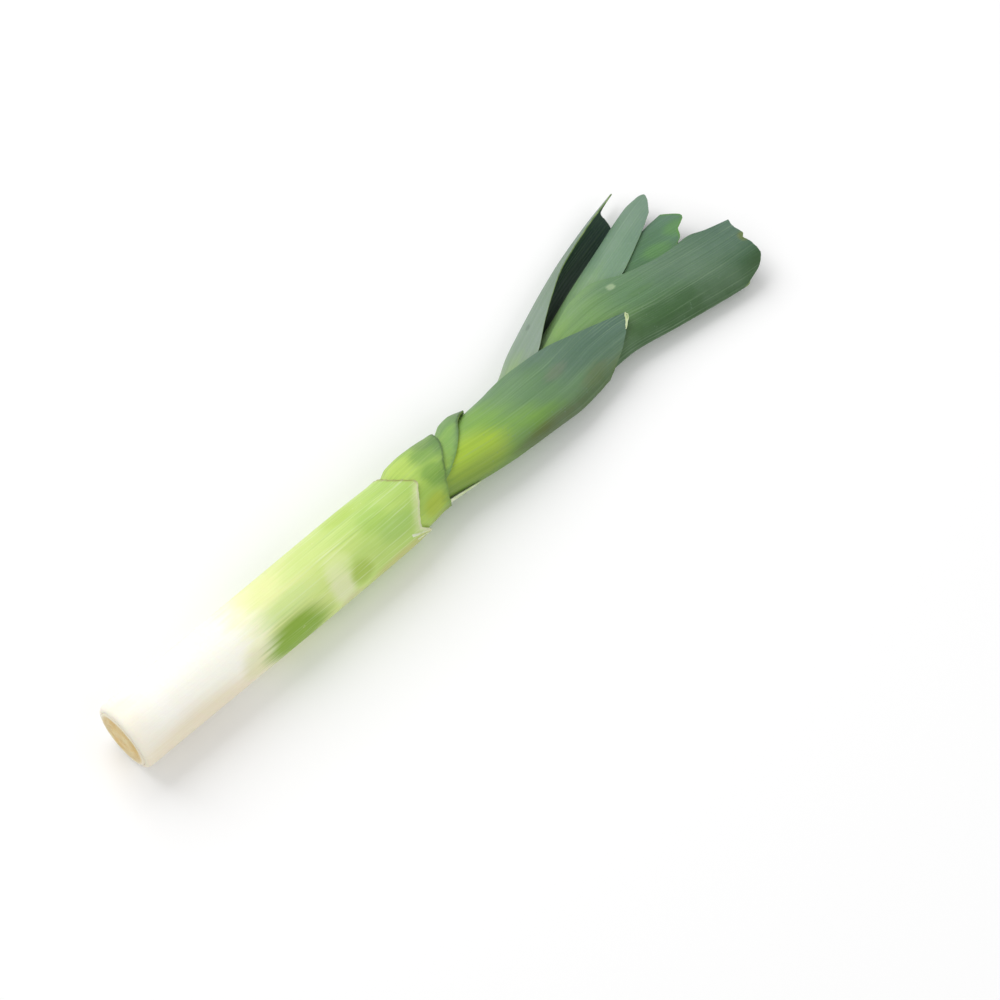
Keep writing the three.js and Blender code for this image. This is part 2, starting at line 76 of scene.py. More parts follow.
class Keel(Enum):
    """The side on which a folded leaf has its keel."""

    LEFT = 1
    RIGHT = -1


class Face(Enum):
    """Which of a blade's three surfaces a material is for."""

    OUTER = 0
    INNER = 1
    EDGE = 2


@dataclass(frozen=True)
class SmoothCurve:
    """A smooth curve through pairs that never overshoots between two of them."""

    pairs: tuple[tuple[float, float], ...]
    tangents: tuple[float, ...] = field(init=False)

    def __post_init__(self) -> None:
        """Works out the slope at each pair."""
        slopes = [
            (after[1] - before[1]) / (after[0] - before[0])
            for before, after in zip(self.pairs, self.pairs[1:])
        ]
        tangents = [slopes[0]]
        for before, after in zip(slopes, slopes[1:]):
            turns = before * after <= 0
            tangents.append(0.0 if turns else 2 * before * after / (before + after))
        tangents.append(slopes[-1])
        object.__setattr__(self, "tangents", tuple(tangents))

    def at(self, place: float) -> float:
        """Reads the curve.

        Args:
            place: the first value of a pair.

        Returns:
            The second value there. Beyond the ends it stays as it is at them.
        """
        pairs = self.pairs
        if place <= pairs[0][0]:
            return pairs[0][1]
        if place >= pairs[-1][0]:
            return pairs[-1][1]
        i = 0
        while place > pairs[i + 1][0]:
            i += 1
        span = pairs[i + 1][0] - pairs[i][0]
        share = (place - pairs[i][0]) / span
        rest = 1 - share
        return (
            pairs[i][1] * rest * rest * (1 + 2 * share)
            + pairs[i + 1][1] * share * share * (3 - 2 * share)
            + span * share * rest * (self.tangents[i] * rest - self.tangents[i + 1] * share)
        )


def curve(*pairs: tuple[float, float]) -> SmoothCurve:
    """A smooth curve through the given pairs."""
    return SmoothCurve(pairs)


def rise(place: float, start: float, end: float) -> float:
    """Rises smoothly from 0 to 1.

    Args:
        place: where it is read.
        start: the last place with 0.
        end: the first place with 1.

    Returns:
        A value from 0 to 1.
    """
    share = min(max((place - start) / (end - start), 0.0), 1.0)
    return share * share * (3 - 2 * share)


def ragged(place: float, seed: float) -> float:
    """A small uneven wobble for torn and cut edges.

    Args:
        place: a distance along the edge in mm.
        seed: makes each edge differ.

    Returns:
        A value from about -1 to 1.
    """
    return (
        0.5 * math.sin(0.9 * place + seed)
        + 0.3 * math.sin(2.3 * place + 2.1 * seed)
        + 0.2 * math.sin(5.1 * place + 3.7 * seed)
    )


def ragged_line(line: SmoothCurve, place: float, depth: float, along: float, seed: float) -> float:
    """Reads a cut line with its small ragged bites.

    Args:
        line: the cut line.
        place: where it is read.
        depth: of the deepest bite.
        along: the distance along the rag.
        seed: makes each edge differ.

    Returns:
        A distance from the root end.
    """
    return line.at(place) - depth * (1 + ragged(along, seed)) / 2


def flared(x: float, rim: float, angle: float, flare: float, middle: float, seed: float) -> float:
    """How far a sleeve lifts off near its rim.

    Args:
        x: distance from the root end.
        rim: the rim's distance from the root end.
        angle: in degrees from the left side over the top.
        flare: how strongly it lifts.
        middle: the middle of the lift's waves.
        seed: makes each rim differ.

    Returns:
        A length outwards.
    """
    return flare * rise(x, rim - FLARE_LENGTH, rim) * (middle + ragged(angle / FLARE_DEGREES, seed))


@dataclass(frozen=True)
class Lie:
    """How the fan of leaves lies on the surface: its middle height, its waves and its sides."""

    axis_height: float = 18.35
    middle: SmoothCurve = curve(
        (0, 18.35), (186, 18.35), (216, 17.7), (255, 14.7), (300, 10.8), (330, 9.4), (355, 8.7),
        (414, 8.0),
    )
    side_breadth: SmoothCurve = curve((0, 3), (210, 3), (300, 2.2), (414, 2.0))
    wave_height: float = 0.7
    wave_along: float = 92.0
    wave_across: float = 45.0
    wave_from: float = 265.0
    wave_to: float = 350.0

    def wave(self, x: float, y: float) -> float:
        """How far the waves lift every layer of the fan at one place."""
        turn = 2 * math.pi * (x / self.wave_along + y / self.wave_across)
        return self.wave_height * rise(x, self.wave_from, self.wave_to) * math.sin(turn)


LIE = Lie()


@dataclass(frozen=True)
class SkinPoint:
    """One point of a skin, with its places on the skin map and on the edge map."""

    x: float
    y: float
    z: float
    skin: tuple[float, float]
    edge: tuple[float, float] = (FAR_FROM_EDGE, FAR_FROM_EDGE)


@dataclass(frozen=True)
class Hull:
    """How far the outer face of a layer reaches, and how far it bulges on its left side."""

    left: SmoothCurve
    right: SmoothCurve
    half_height: SmoothCurve
    swell: SmoothCurve = curve((0, 0.0), (420, 0.0))

    def ring_point(self, x: float, degrees: float, depth: float = 0.0) -> tuple[float, float]:
        """A point on the full ring.

        Args:
            x: distance from the root end.
            degrees: angle from the left side over the top.
            depth: how far the point is set in.

        Returns:
            Its place across and its height.
        """
        angle = math.radians(degrees)
        left = self.left.at(x)
        right = self.right.at(x)
        reach = (left - right) / 2 - depth
        height = self.half_height.at(x) - depth
        across = (left + right) / 2 + reach * math.cos(angle)
        across += self.swell.at(x) * max(math.cos(angle), 0.0) ** 2
        return across, LIE.middle.at(x) + height * math.sin(angle)


@dataclass(frozen=True)
class OutlinePoint:
    """A point on one half of a folded leaf's outline, and the outward direction there."""

    y: float
    z: float
    out: float
    up: float
    length: float = 0.0


def arm_outline(hull: Hull, keel: Keel, x: float, steps: int = 14) -> list[OutlinePoint]:
    """Half of a folded leaf's outline, from the keel to the far side.

    Args:
        hull: how far the layer reaches.
        keel: the side of the keel.
        x: distance from the root end.
        steps: points on each rounded side.

    Returns:
        Points with their lengths along the outline.
    """
    left = hull.left.at(x)
    right = hull.right.at(x)
    height = hull.half_height.at(x)
    side = min(LIE.side_breadth.at(x) * height, (left - right) / 2)
    toward = keel.value
    near = left - side if keel is Keel.LEFT else right + side
    far = right + side if keel is Keel.LEFT else left - side
    ends = [(near, toward, i / steps) for i in range(steps + 1)]
    ends += [(far, -toward, i / steps) for i in range(steps, -1, -1)]
    points: list[OutlinePoint] = []
    length = 0.0
    for middle, facing, share in ends:
        out = math.cos(share * math.pi / 2)
        up = math.sin(share * math.pi / 2)
        y = middle + facing * side * out
        z = height * up
        if points:
            length += math.hypot(y - points[-1].y, z - points[-1].z)
        points.append(OutlinePoint(y, z, facing * out / side, up / height, length))
    return points


def arm_reach(points: list[OutlinePoint], keel: Keel, margin_y: float) -> float:
    """How far along an arm's outline its margin lies.

    Args:
        points: the outline.
        keel: the side of the keel.
        margin_y: the margin's place across.

    Returns:
        A length from the keel.
    """
    full = points[-1].length - MARGIN_GAP
    for before, after in zip(points, points[1:]):
        if keel.value * (after.y - margin_y) <= 0:
            share = (before.y - margin_y) / ((before.y - after.y) or 1.0)
            return min(full, before.length + share * (after.length - before.length))
    return full


def point_along(points: list[OutlinePoint], length: float) -> OutlinePoint:
    """The point at a length along an arm's outline."""
    i = 1
    while i < len(points) - 1 and points[i].length < length:
        i += 1
    before = points[i - 1]
    after = points[i]
    share = (length - before.length) / ((after.length - before.length) or 1.0)
    out = before.out + share * (after.out - before.out)
    up = before.up + share * (after.up - before.up)
    size = math.hypot(out, up)
    return OutlinePoint(
        before.y + share * (after.y - before.y),
        before.z + share * (after.z - before.z),
        out / size,
        up / size,
        length,
    )


class Skin:
    """A sheet of small panels that is bent into one layer of the leek."""

    def __init__(self, rows: int, columns: int) -> None:
        """Starts with a flat sheet.

        Args:
            rows: panels along the leek.
            columns: panels across.
        """
        self.rows = rows
        self.columns = columns
        self.mesh = bmesh.new()
        self.skin_map = self.mesh.loops.layers.uv.new("skin")
        self.edge_map = self.mesh.loops.layers.uv.new("edge")
        bmesh.ops.create_grid(self.mesh, x_segments=rows, y_segments=columns, size=1.0)

    def bend(self, at: Callable[[int, int], SkinPoint]) -> None:
        """Moves every corner of the sheet to its place.

        Args:
            at: gives the point for a row and a column.
        """
        points: dict[bmesh.types.BMVert, SkinPoint] = {}
        for corner in self.mesh.verts:
            row = round((corner.co.x + 1) / 2 * self.rows)
            column = round((corner.co.y + 1) / 2 * self.columns)
            point = at(row, column)
            points[corner] = point
            corner.co = (
                (point.x - CENTRE_X) * METRE,
                (point.y - CENTRE_Y) * METRE,
                point.z * METRE,
            )
        for panel in self.mesh.faces:
            panel.smooth = True
            for loop in panel.loops:
                loop[self.skin_map].uv = points[loop.vert].skin
                loop[self.edge_map].uv = points[loop.vert].edge

    def join_seam(self) -> None:
        """Joins corners that lie on one another, at the seam of a ring and at a pole."""
        bmesh.ops.remove_doubles(self.mesh, verts=self.mesh.verts, dist=1e-7)

    def turn_over(self) -> None:
        """Makes the panels face the other way."""
        bmesh.ops.reverse_faces(self.mesh, faces=self.mesh.faces)

    def piece(self, name: str, materials: Sequence[bpy.types.Material]) -> bpy.types.Object:
        """Ends the sheet as an object.

        Args:
            name: the object's name.
            materials: one for each slot.

        Returns:
            The object, linked to the scene.
        """
        for side in self.mesh.edges:
            side.smooth = not side.is_boundary
        data = bpy.data.meshes.new(name)
        self.mesh.to_mesh(data)
        self.mesh.free()
        for material in materials:
            data.materials.append(material)
        made = bpy.data.objects.new(name, data)
        bpy.context.scene.collection.objects.link(made)
        return made


def thicken(piece: bpy.types.Object, thickness: float) -> None:
    """Gives a skin its thickness, inwards, with an own material inside and on the cut edge.

    Args:
        piece: a skin with three material slots.
        thickness: in mm.
    """
    wall = piece.modifiers.new("thickness", "SOLIDIFY")
    wall.thickness = thickness * METRE
    wall.offset = -1.0
    wall.material_offset = Face.INNER.value
    wall.material_offset_rim = Face.EDGE.value


def linear(colour: Colour) -> tuple[float, float, float, float]:
    """Turns a colour from 0 to 255 as a screen shows it into the values that a shader reads."""
    shares = [channel / 255 for channel in colour]
    red, green, blue = [
        share / 12.92 if share <= 0.04045 else ((share + 0.055) / 1.055) ** 2.4 for share in shares
    ]
    return red, green, blue, 1.0


class NodeSheet:
    """Places and joins the nodes of one material or node group."""

    def __init__(self, tree: bpy.types.NodeTree) -> None:
        """Starts on an empty tree."""
        self.tree = tree
        tree.nodes.clear()

    def feed(self, socket: bpy.types.NodeSocket, value: Value) -> None:
        """Joins a socket to another one, or sets its value."""
        if isinstance(value, bpy.types.NodeSocket):
            self.tree.links.new(value, socket)
        else:
            socket.default_value = value

    def node(self, kind: str, **settings: object) -> bpy.types.Node:
        """Adds a node and sets its properties."""
        made = self.tree.nodes.new(kind)
        for name, value in settings.items():
            setattr(made, name, value)
        return made

    def math(self, operation: str, *values: Value, clamp: bool = False) -> bpy.types.NodeSocket:
        """Adds a sum or another plain operation on numbers.

        Args:
            operation: its name.
            values: what it works on.
            clamp: keeps the result from 0 to 1.

        Returns:
            The result.
        """
        made = self.node("ShaderNodeMath", operation=operation, use_clamp=clamp)
        for socket, value in zip(made.inputs, values):
            self.feed(socket, value)
        return made.outputs[0]

    def smooth(self, value: Value, low: float, high: float) -> bpy.types.NodeSocket:
        """Rises smoothly from 0 to 1 between two values."""
        made = self.node("ShaderNodeMapRange", interpolation_type="SMOOTHSTEP")
        self.feed(made.inputs["Value"], value)
        made.inputs["From Min"].default_value = low
        made.inputs["From Max"].default_value = high
        return made.outputs["Result"]

    def vector(self, x: Value, y: Value, z: Value) -> bpy.types.NodeSocket:
        """Puts three numbers together."""
        made = self.node("ShaderNodeCombineXYZ")
        for socket, value in zip(made.inputs, (x, y, z)):
            self.feed(socket, value)
        return made.outputs[0]

    def split(self, vector: bpy.types.NodeSocket) -> list[bpy.types.NodeSocket]:
        """Takes a vector apart."""
        made = self.node("ShaderNodeSeparateXYZ")
        self.feed(made.inputs[0], vector)
        return list(made.outputs)

    def noise(
        self, place: Value, scale: Value, detail: float = 3.0, rough: float = 0.55
    ) -> bpy.types.NodeSocket:
        """Adds an uneven pattern from 0 to 1."""
        made = self.node("ShaderNodeTexNoise")
        self.feed(made.inputs["Vector"], place)
        self.feed(made.inputs["Scale"], scale)
        made.inputs["Detail"].default_value = detail
        made.inputs["Roughness"].default_value = rough
        return made.outputs["Fac"]

    def drawn_out(
        self,
        skin: bpy.types.NodeSocket,
        seed: Value,
        across: float,
        along: float,
        shift: float,
        detail: float,
        rough: float = 0.55,
    ) -> bpy.types.NodeSocket:
        """Adds an uneven pattern that is drawn out along the veins.

        Args:
            skin: the skin map.
            seed: of the whole effect.
            across: scale across the veins.
            along: scale along them.
            shift: makes each pattern of one effect differ.
            detail: of the noise.
            rough: of the noise.

        Returns:
            A value from 0 to 1.
        """
        side, length, _ = self.split(skin)
        place = self.vector(
            self.math("MULTIPLY", side, across),
            self.math("MULTIPLY", length, along),
            self.math("ADD", seed, shift),
        )
        return self.noise(place, 1.0, detail, rough)

    def mix(
        self, share: Value, first: Value, second: Value, blend: str = "MIX"
    ) -> bpy.types.NodeSocket:
        """Mixes two colours."""
        made = self.node("ShaderNodeMix", data_type="RGBA", blend_type=blend, clamp_factor=True)
        self.feed(made.inputs[0], share)
        self.feed(made.inputs[6], first)
        self.feed(made.inputs[7], second)
        return made.outputs[2]

    def tint(self, mask: Value, share: float, under: Value, over: Colour) -> bpy.types.NodeSocket:
        """Lays a colour over another one.

        Args:
            mask: where it shows, from 0 to 1.
            share: how much of it shows at most.
            under: the colour below.
            over: the colour on top, from 0 to 255.

        Returns:
            The colour of both.
        """
        return self.mix(self.math("MULTIPLY", mask, share), under, linear(over))

    def bumped(self, height: Value, strength: float, distance: float) -> bpy.types.NodeSocket:
        """Turns a height into a bumped normal.

        Args:
            height: from 0 to about 1.
            strength: of the bump.
            distance: in metres that a height of 1 stands for.

        Returns:
            The normal.
        """
        made = self.node("ShaderNodeBump")
        made.inputs["Strength"].default_value = strength
        made.inputs["Distance"].default_value = distance
        self.feed(made.inputs["Height"], height)
        return made.outputs[0]

    def ramp(self, place: Value, stops: Sequence[tuple[float, Colour]]) -> bpy.types.NodeSocket:
        """Colours along the leek.

        Args:
            place: a distance over RAMP_REACH, from 0 to 1.
            stops: distances in mm with their colours.

        Returns:
            The colour there.
        """
        made = self.node("ShaderNodeValToRGB")
        made.color_ramp.interpolation = "EASE"
        self.feed(made.inputs[0], place)
        points = made.color_ramp.elements
        while len(points) < len(stops):
            points.new(0.5)
        for point, (distance, colour) in zip(points, stops):
            point.position = distance / RAMP_REACH
            point.color = linear(colour)
        return made.outputs["Color"]

    def map(self, name: str) -> bpy.types.NodeSocket:
        """Reads one of the piece's own maps."""
        return self.node("ShaderNodeUVMap", uv_map=name).outputs[0]

    def place(self) -> bpy.types.NodeSocket:
        """Reads places on the object."""
        return self.node("ShaderNodeTexCoord").outputs["Object"]

    def use(self, group: bpy.types.NodeTree, **values: Value) -> bpy.types.Node:
        """Places a node group and feeds its inputs."""
        made = self.node("ShaderNodeGroup", node_tree=group)
        for name, value in values.items():
            self.feed(made.inputs[name], value)
        return made


class Effects:
    """The effects that several finishes share, each a node group."""

    def __init__(self) -> None:
        """Makes the groups."""
        self.veins = self.make_veins()
        self.bloom = self.make_bloom()
        self.cut = self.make_cut()
        self.spots = self.make_spots()
        self.patch = self.make_patch()
        self.made: dict[str, bpy.types.Material] = {}

    def dress(self, finish: "BladeFinish | CutFinish | RootFinish | ShaftFinish") -> bpy.types.Material:
        """The material of a finish, which is made only once.

        Args:
            finish: a finish with an own name.

        Returns:
            The material.
        """
        if finish.name not in self.made:
            self.made[finish.name] = finish.material(self)
        return self.made[finish.name]

    def start(
        self, name: str, inputs: Sequence[tuple[str, str]], outputs: Sequence[str]
    ) -> tuple[NodeSheet, bpy.types.Node, bpy.types.Node]:
        """Starts a node group.

        Args:
            name: what the effect is.
            inputs: names and kinds of the inputs.
            outputs: names of the outputs, all numbers.

        Returns:
            The sheet, and the nodes for its inputs and outputs.
        """
        tree = bpy.data.node_groups.new(name, "ShaderNodeTree")
        for label, kind in inputs:
            tree.interface.new_socket(label, in_out="INPUT", socket_type=f"NodeSocket{kind}")
        for label in outputs:
            tree.interface.new_socket(label, in_out="OUTPUT", socket_type="NodeSocketFloat")
        sheet = NodeSheet(tree)
        return sheet, sheet.node("NodeGroupInput"), sheet.node("NodeGroupOutput")

    def make_veins(self) -> bpy.types.NodeTree:
        """Parallel veins and streaks that follow the skin from the root to the tip."""
        sheet, given, result = self.start(
            "parallel veins",
            [("Skin", "Vector"), ("Spacing", "Float"), ("Wander", "Float"), ("Seed", "Float")],
            ["Vein", "Ridge", "Streak", "Broad"],
        )
        skin = given.outputs["Skin"]
        seed = given.outputs["Seed"]
        drift = sheet.drawn_out(skin, seed, 16, 0.7, 0.0, 4)
        across = sheet.math("MULTIPLY", sheet.split(skin)[0], MAP_UNIT)
        bands = sheet.math("DIVIDE", across, given.outputs["Spacing"])
        phase = sheet.math("MULTIPLY_ADD", drift, given.outputs["Wander"], bands)
        wave = sheet.math("SINE", sheet.math("MULTIPLY", phase, 2 * math.pi))
        ridge = sheet.math("MULTIPLY_ADD", wave, 0.5, 0.5)
        strength = sheet.drawn_out(skin, seed, 46, 1.3, 3.0, 3)
        vein = sheet.math("MULTIPLY", sheet.math("POWER", ridge, 3.0), sheet.smooth(strength, 0.42, 0.72))
        streak = sheet.drawn_out(skin, seed, 60, 0.8, 7.0, 5, 0.65)
        broad = sheet.drawn_out(skin, seed, 11, 0.75, 11.0, 3)
        for name, value in (("Vein", vein), ("Ridge", ridge), ("Streak", streak), ("Broad", broad)):
            sheet.feed(result.inputs[name], value)
        return sheet.tree

    def make_bloom(self) -> bpy.types.NodeTree:
        """The uneven waxy bloom of a leaf, in patches and in fine grain."""
        sheet, given, result = self.start(
            "waxy bloom", [("Place", "Vector"), ("Patch", "Float")], ["Bloom", "Grain"]
        )
        patches = sheet.noise(given.outputs["Place"], sheet.math("DIVIDE", 1000.0, given.outputs["Patch"]), 4)
        sheet.feed(result.inputs["Bloom"], sheet.smooth(patches, 0.34, 0.68))
        sheet.feed(result.inputs["Grain"], sheet.noise(given.outputs["Place"], 2600.0, 3, 0.7))
        return sheet.tree

    def make_cut(self) -> bpy.types.NodeTree:
        """Where a skin nears its cut end or its side margin."""
        sheet, given, result = self.start(
            "cut and margin",
            [("Edge", "Vector"), ("Place", "Vector"), ("Width", "Float"), ("Rag", "Float")],
            ["End", "Margin"],
        )
        to_end, to_margin, _ = sheet.split(given.outputs["Edge"])
        uneven = sheet.math("SUBTRACT", sheet.noise(given.outputs["Place"], 420.0, 3), 0.5)
        rag = sheet.math("MULTIPLY", uneven, given.outputs["Rag"])
        for name, distance in (("End", to_end), ("Margin", to_margin)):
            away = sheet.math("MULTIPLY_ADD", distance, MAP_UNIT, rag)
            share = sheet.math("DIVIDE", away, given.outputs["Width"])
            sheet.feed(result.inputs[name], sheet.math("SUBTRACT", 1.0, sheet.smooth(share, 0.0, 1.0)))
        return sheet.tree

    def make_spots(self) -> bpy.types.NodeTree:
        """Small scattered marks such as specks, scuffs and grains of soil."""
        sheet, given, result = self.start(
            "scattered marks", [("Place", "Vector"), ("Size", "Float"), ("Amount", "Float")], ["Mark"]
        )
        cells = sheet.node("ShaderNodeTexVoronoi")
        sheet.feed(cells.inputs["Vector"], given.outputs["Place"])
        sheet.feed(cells.inputs["Scale"], sheet.math("DIVIDE", 1000.0, given.outputs["Size"]))
        dots = sheet.math("SUBTRACT", 1.0, sheet.smooth(cells.outputs["Distance"], 0.08, 0.3))
        gate = sheet.noise(given.outputs["Place"], 95.0, 2)
        gated = sheet.math("GREATER_THAN", sheet.math("ADD", gate, given.outputs["Amount"]), 0.9)
        sheet.feed(result.inputs["Mark"], sheet.math("MULTIPLY", dots, gated))
        return sheet.tree

    def make_patch(self) -> bpy.types.NodeTree:
        """One long soft patch on the skin, drawn out along the veins."""
        sheet, given, result = self.start(
            "soft patch",
            [
                ("Skin", "Vector"), ("Streak", "Float"), ("Across", "Float"), ("Along", "Float"),
                ("Width", "Float"), ("Length", "Float"), ("Uneven", "Float"),
            ],
            ["Patch"],
        )
        across, along, _ = sheet.split(given.outputs["Skin"])
        squares = []
        for value, middle, size in ((across, "Across", "Width"), (along, "Along", "Length")):
            away = sheet.math("SUBTRACT", sheet.math("MULTIPLY", value, MAP_UNIT), given.outputs[middle])
            share = sheet.math("ABSOLUTE", sheet.math("DIVIDE", away, given.outputs[size]))
            squares.append(sheet.math("POWER", share, 2.0))
        distance = sheet.math("SQRT", sheet.math("ADD", *squares))
        streak = sheet.math("SUBTRACT", given.outputs["Streak"], 0.5)
        uneven = sheet.math("MULTIPLY", streak, given.outputs["Uneven"])
        edge = sheet.smooth(sheet.math("ADD", distance, uneven), 0.45, 1.15)
        sheet.feed(result.inputs["Patch"], sheet.math("SUBTRACT", 1.0, edge))
        return sheet.tree


def shader(sheet: NodeSheet, colour: Value, rough: Value, normal: Value, soft: float) -> None:
    """Ends a material in its surface shader.

    Args:
        sheet: the material's nodes.
        colour: base colour.
        rough: roughness.
        normal: the bumped normal.
        soft: how much light the flesh lets through.
    """
    surface = sheet.node("ShaderNodeBsdfPrincipled")
    sheet.feed(surface.inputs["Base Color"], colour)
    sheet.feed(surface.inputs["Roughness"], rough)
    sheet.feed(surface.inputs["Normal"], normal)
    surface.inputs["Subsurface Weight"].default_value = soft
    surface.inputs["Subsurface Radius"].default_value = (0.6, 1.0, 0.3)
    surface.inputs["Subsurface Scale"].default_value = 0.0012
    surface.inputs["Specular IOR Level"].default_value = 0.4
    output = sheet.node("ShaderNodeOutputMaterial")
    sheet.feed(output.inputs["Surface"], surface.outputs["BSDF"])


def new_material(name: str) -> tuple[bpy.types.Material, NodeSheet]:
    """Starts a material with an empty node tree."""
    made = bpy.data.materials.new(name)
    made.use_nodes = True
    return made, NodeSheet(made.node_tree)


@dataclass(frozen=True)
class Patch:
    """A soft patch of colour: its middle and half sizes on the skin in mm, and how strong it is."""

    across: float
    along: float
    width: float
    length: float
    colour: Colour
    share: float = 0.6
    uneven: float = 1.2

    def lay(
        self, sheet: NodeSheet, effects: Effects, skin: Value, streak: Value, under: Value
    ) -> bpy.types.NodeSocket:
        """Lays the patch over a colour.

        Args:
            sheet: the material's nodes.
            effects: the shared node groups.
            skin: the skin map.
            streak: the streaks that draw the patch out.
            under: the colour under it.

        Returns:
            The colour with the patch.
        """
        mask = sheet.use(
            effects.patch, Skin=skin, Streak=streak, Across=self.across, Along=self.along,
            Width=self.width, Length=self.length, Uneven=self.uneven,
        ).outputs["Patch"]
        return sheet.tint(mask, self.share, under, self.colour)


def ring_place(degrees: float, radius: float) -> float:
    """The place across the skin map of a ring, for an angle from the left side over the top."""
    return math.radians(degrees + 360.0 if degrees < 270.0 else degrees) * radius


@dataclass(frozen=True)
class BladeFinish:
    """The skin of a sheath or a leaf: colours along it, veins, bloom, streaks, painted keel shade and painted
    rim shade.
    """

    name: str
    along: tuple[tuple[float, Colour], ...]
    vein_colour: Colour
    bloom_colour: Colour
    # The tint along the keel: where it is darker than the skin, it is painted shade of the side that rounds
    # away from the light
    keel_colour: Colour
    keel_width: float = 14.0
    keel_share: float = 0.0
    keel_start: float = -6.0
    keel_wander: float = 12.0
    vein_share: float = 0.35
    vein_spacing: float = 1.5
    vein_wander: float = 4.5
    bloom_share: float = 0.3
    bloom_patch: float = 26.0
    mark_size: float = 2.4
    mark_amount: float = 0.3
    mark_share: float = 0.25
    streak_share: float = 0.35
    streak_pull: float = 0.05
    # A line along the cut end: where end_colour is dark, as on the sheaths, it is partly painted contact
    # shadow under the lifted rim and partly the darker edge
    end_colour: Colour = (160, 165, 110)
    end_share: float = 0.0
    end_width: float = 3.0
    rough: float = 0.48
    soft: float = 0.12
    relief: float = 0.2
    tilt: float = 0.0
    # A broader band of painted shade before the cut end
    shade_width: float = 8.0
    shade_share: float = 0.0
    shade_colour: Colour = (80, 110, 60)
    line_from: float = 0.0
    line_to: float = 0.0
    line_fade: float = 0.8
    wax_from: float = 200.0
    wax_to: float = 280.0
    streak_shade: tuple[float, float, float, float] = (0.62, 0.72, 0.58, 1.0)
    patches: tuple[Patch, ...] = ()
    seed: float = 0.0

    def material(self, effects: Effects) -> bpy.types.Material:
        """Makes the material.

        Args:
            effects: the shared node groups.

        Returns:
            The material.
        """
        made, sheet = new_material(self.name)
        skin = sheet.map("skin")
        edge = sheet.map("edge")
        place = sheet.place()
        across, along, _ = sheet.split(skin)
        from_keel = sheet.math("ABSOLUTE", across)
        veins = sheet.use(
            effects.veins, Skin=skin, Spacing=self.vein_spacing, Wander=self.vein_wander, Seed=self.seed
        ).outputs
        bloom = sheet.use(effects.bloom, Place=place, Patch=self.bloom_patch).outputs
        spots = sheet.use(effects.spots, Place=place, Size=self.mark_size, Amount=self.mark_amount)
        cut, shade = (
            sheet.use(effects.cut, Edge=edge, Place=place, Width=width, Rag=width).outputs["End"]
            for width in (self.end_width, self.shade_width)
        )
        pulled = sheet.math("MULTIPLY", sheet.math("SUBTRACT", veins["Broad"], 0.5), self.streak_pull * 2)
        tilted = sheet.math("MULTIPLY", from_keel, self.tilt * MAP_UNIT / RAMP_REACH)
        pulled = sheet.math("ADD", pulled, tilted)
        distance = sheet.math("MULTIPLY_ADD", along, MAP_UNIT / RAMP_REACH, pulled)
        colour = sheet.ramp(distance, self.along)
        for patch in self.patches:
            colour = patch.lay(sheet, effects, skin, veins["Streak"], colour)
        # Painted shade along the keel where keel_colour is darker than the skin, as on the front and long
        # leaves
        wandered = sheet.math("MULTIPLY_ADD", veins["Broad"], -self.keel_wander / MAP_UNIT, from_keel)
        off_keel = sheet.smooth(wandered, self.keel_start / MAP_UNIT, self.keel_width / MAP_UNIT)
        near_keel = sheet.math("SUBTRACT", 1.0, off_keel)
        colour = sheet.tint(near_keel, self.keel_share, colour, self.keel_colour)
        grown = sheet.smooth(along, self.wax_from / MAP_UNIT, self.wax_to / MAP_UNIT)
        waxed = sheet.math("MULTIPLY", sheet.math("MULTIPLY", bloom["Bloom"], self.bloom_share), grown)
        colour = sheet.mix(waxed, colour, linear(self.bloom_colour))
        colour = sheet.tint(veins["Vein"], self.vein_share, colour, self.vein_colour)
        streaked = sheet.math("MULTIPLY", sheet.smooth(veins["Streak"], 0.38, 0.7), self.streak_share)
        colour = sheet.mix(streaked, colour, self.streak_shade, blend="MULTIPLY")
        colour = sheet.tint(spots.outputs["Mark"], self.mark_share, colour, self.bloom_colour)
        # Painted shade in a broad band before the rim, then the line along the cut end, partly painted
        # contact shadow where it is dark
        colour = sheet.tint(shade, self.shade_share, colour, self.shade_colour)
        line = sheet.math("MULTIPLY", cut, self.end_share)
        if self.line_to > self.line_from:
            faded = sheet.smooth(across, self.line_from / MAP_UNIT, self.line_to / MAP_UNIT)
            line = sheet.math("MULTIPLY", line, sheet.math("MULTIPLY_ADD", faded, -self.line_fade, 1.0))
        colour = sheet.mix(line, colour, linear(self.end_colour))
        rough = sheet.math("MULTIPLY_ADD", bloom["Grain"], 0.16, self.rough - 0.08)
        rough = sheet.math("MULTIPLY_ADD", waxed, 0.2, rough, clamp=True)
        height = sheet.math("MULTIPLY_ADD", veins["Streak"], 0.6, sheet.math("MULTIPLY", veins["Ridge"], 0.5))
        height = sheet.math("MULTIPLY_ADD", bloom["Grain"], 0.12, height)
        shader(sheet, colour, rough, sheet.bumped(height, self.relief, 0.0005), self.soft)
        return made


@dataclass(frozen=True)
class CutFinish:
    """The thin cut edge of a blade, where the pale flesh shows."""

    name: str
    flesh: Colour
    dry: Colour
    rough: float = 0.6

    def material(self, effects: Effects) -> bpy.types.Material:
        """Makes the material.

        Args:
            effects: the shared node groups.

        Returns:
            The material.
        """
        made, sheet = new_material(self.name)
        place = sheet.place()
        bloom = sheet.use(effects.bloom, Place=place, Patch=6.0).outputs
        colour = sheet.mix(bloom["Bloom"], linear(self.flesh), linear(self.dry))
        rough = sheet.math("MULTIPLY_ADD", bloom["Grain"], 0.1, self.rough)
        shader(sheet, colour, rough, sheet.bumped(bloom["Grain"], 0.3, 0.0003), 0.1)
        return made


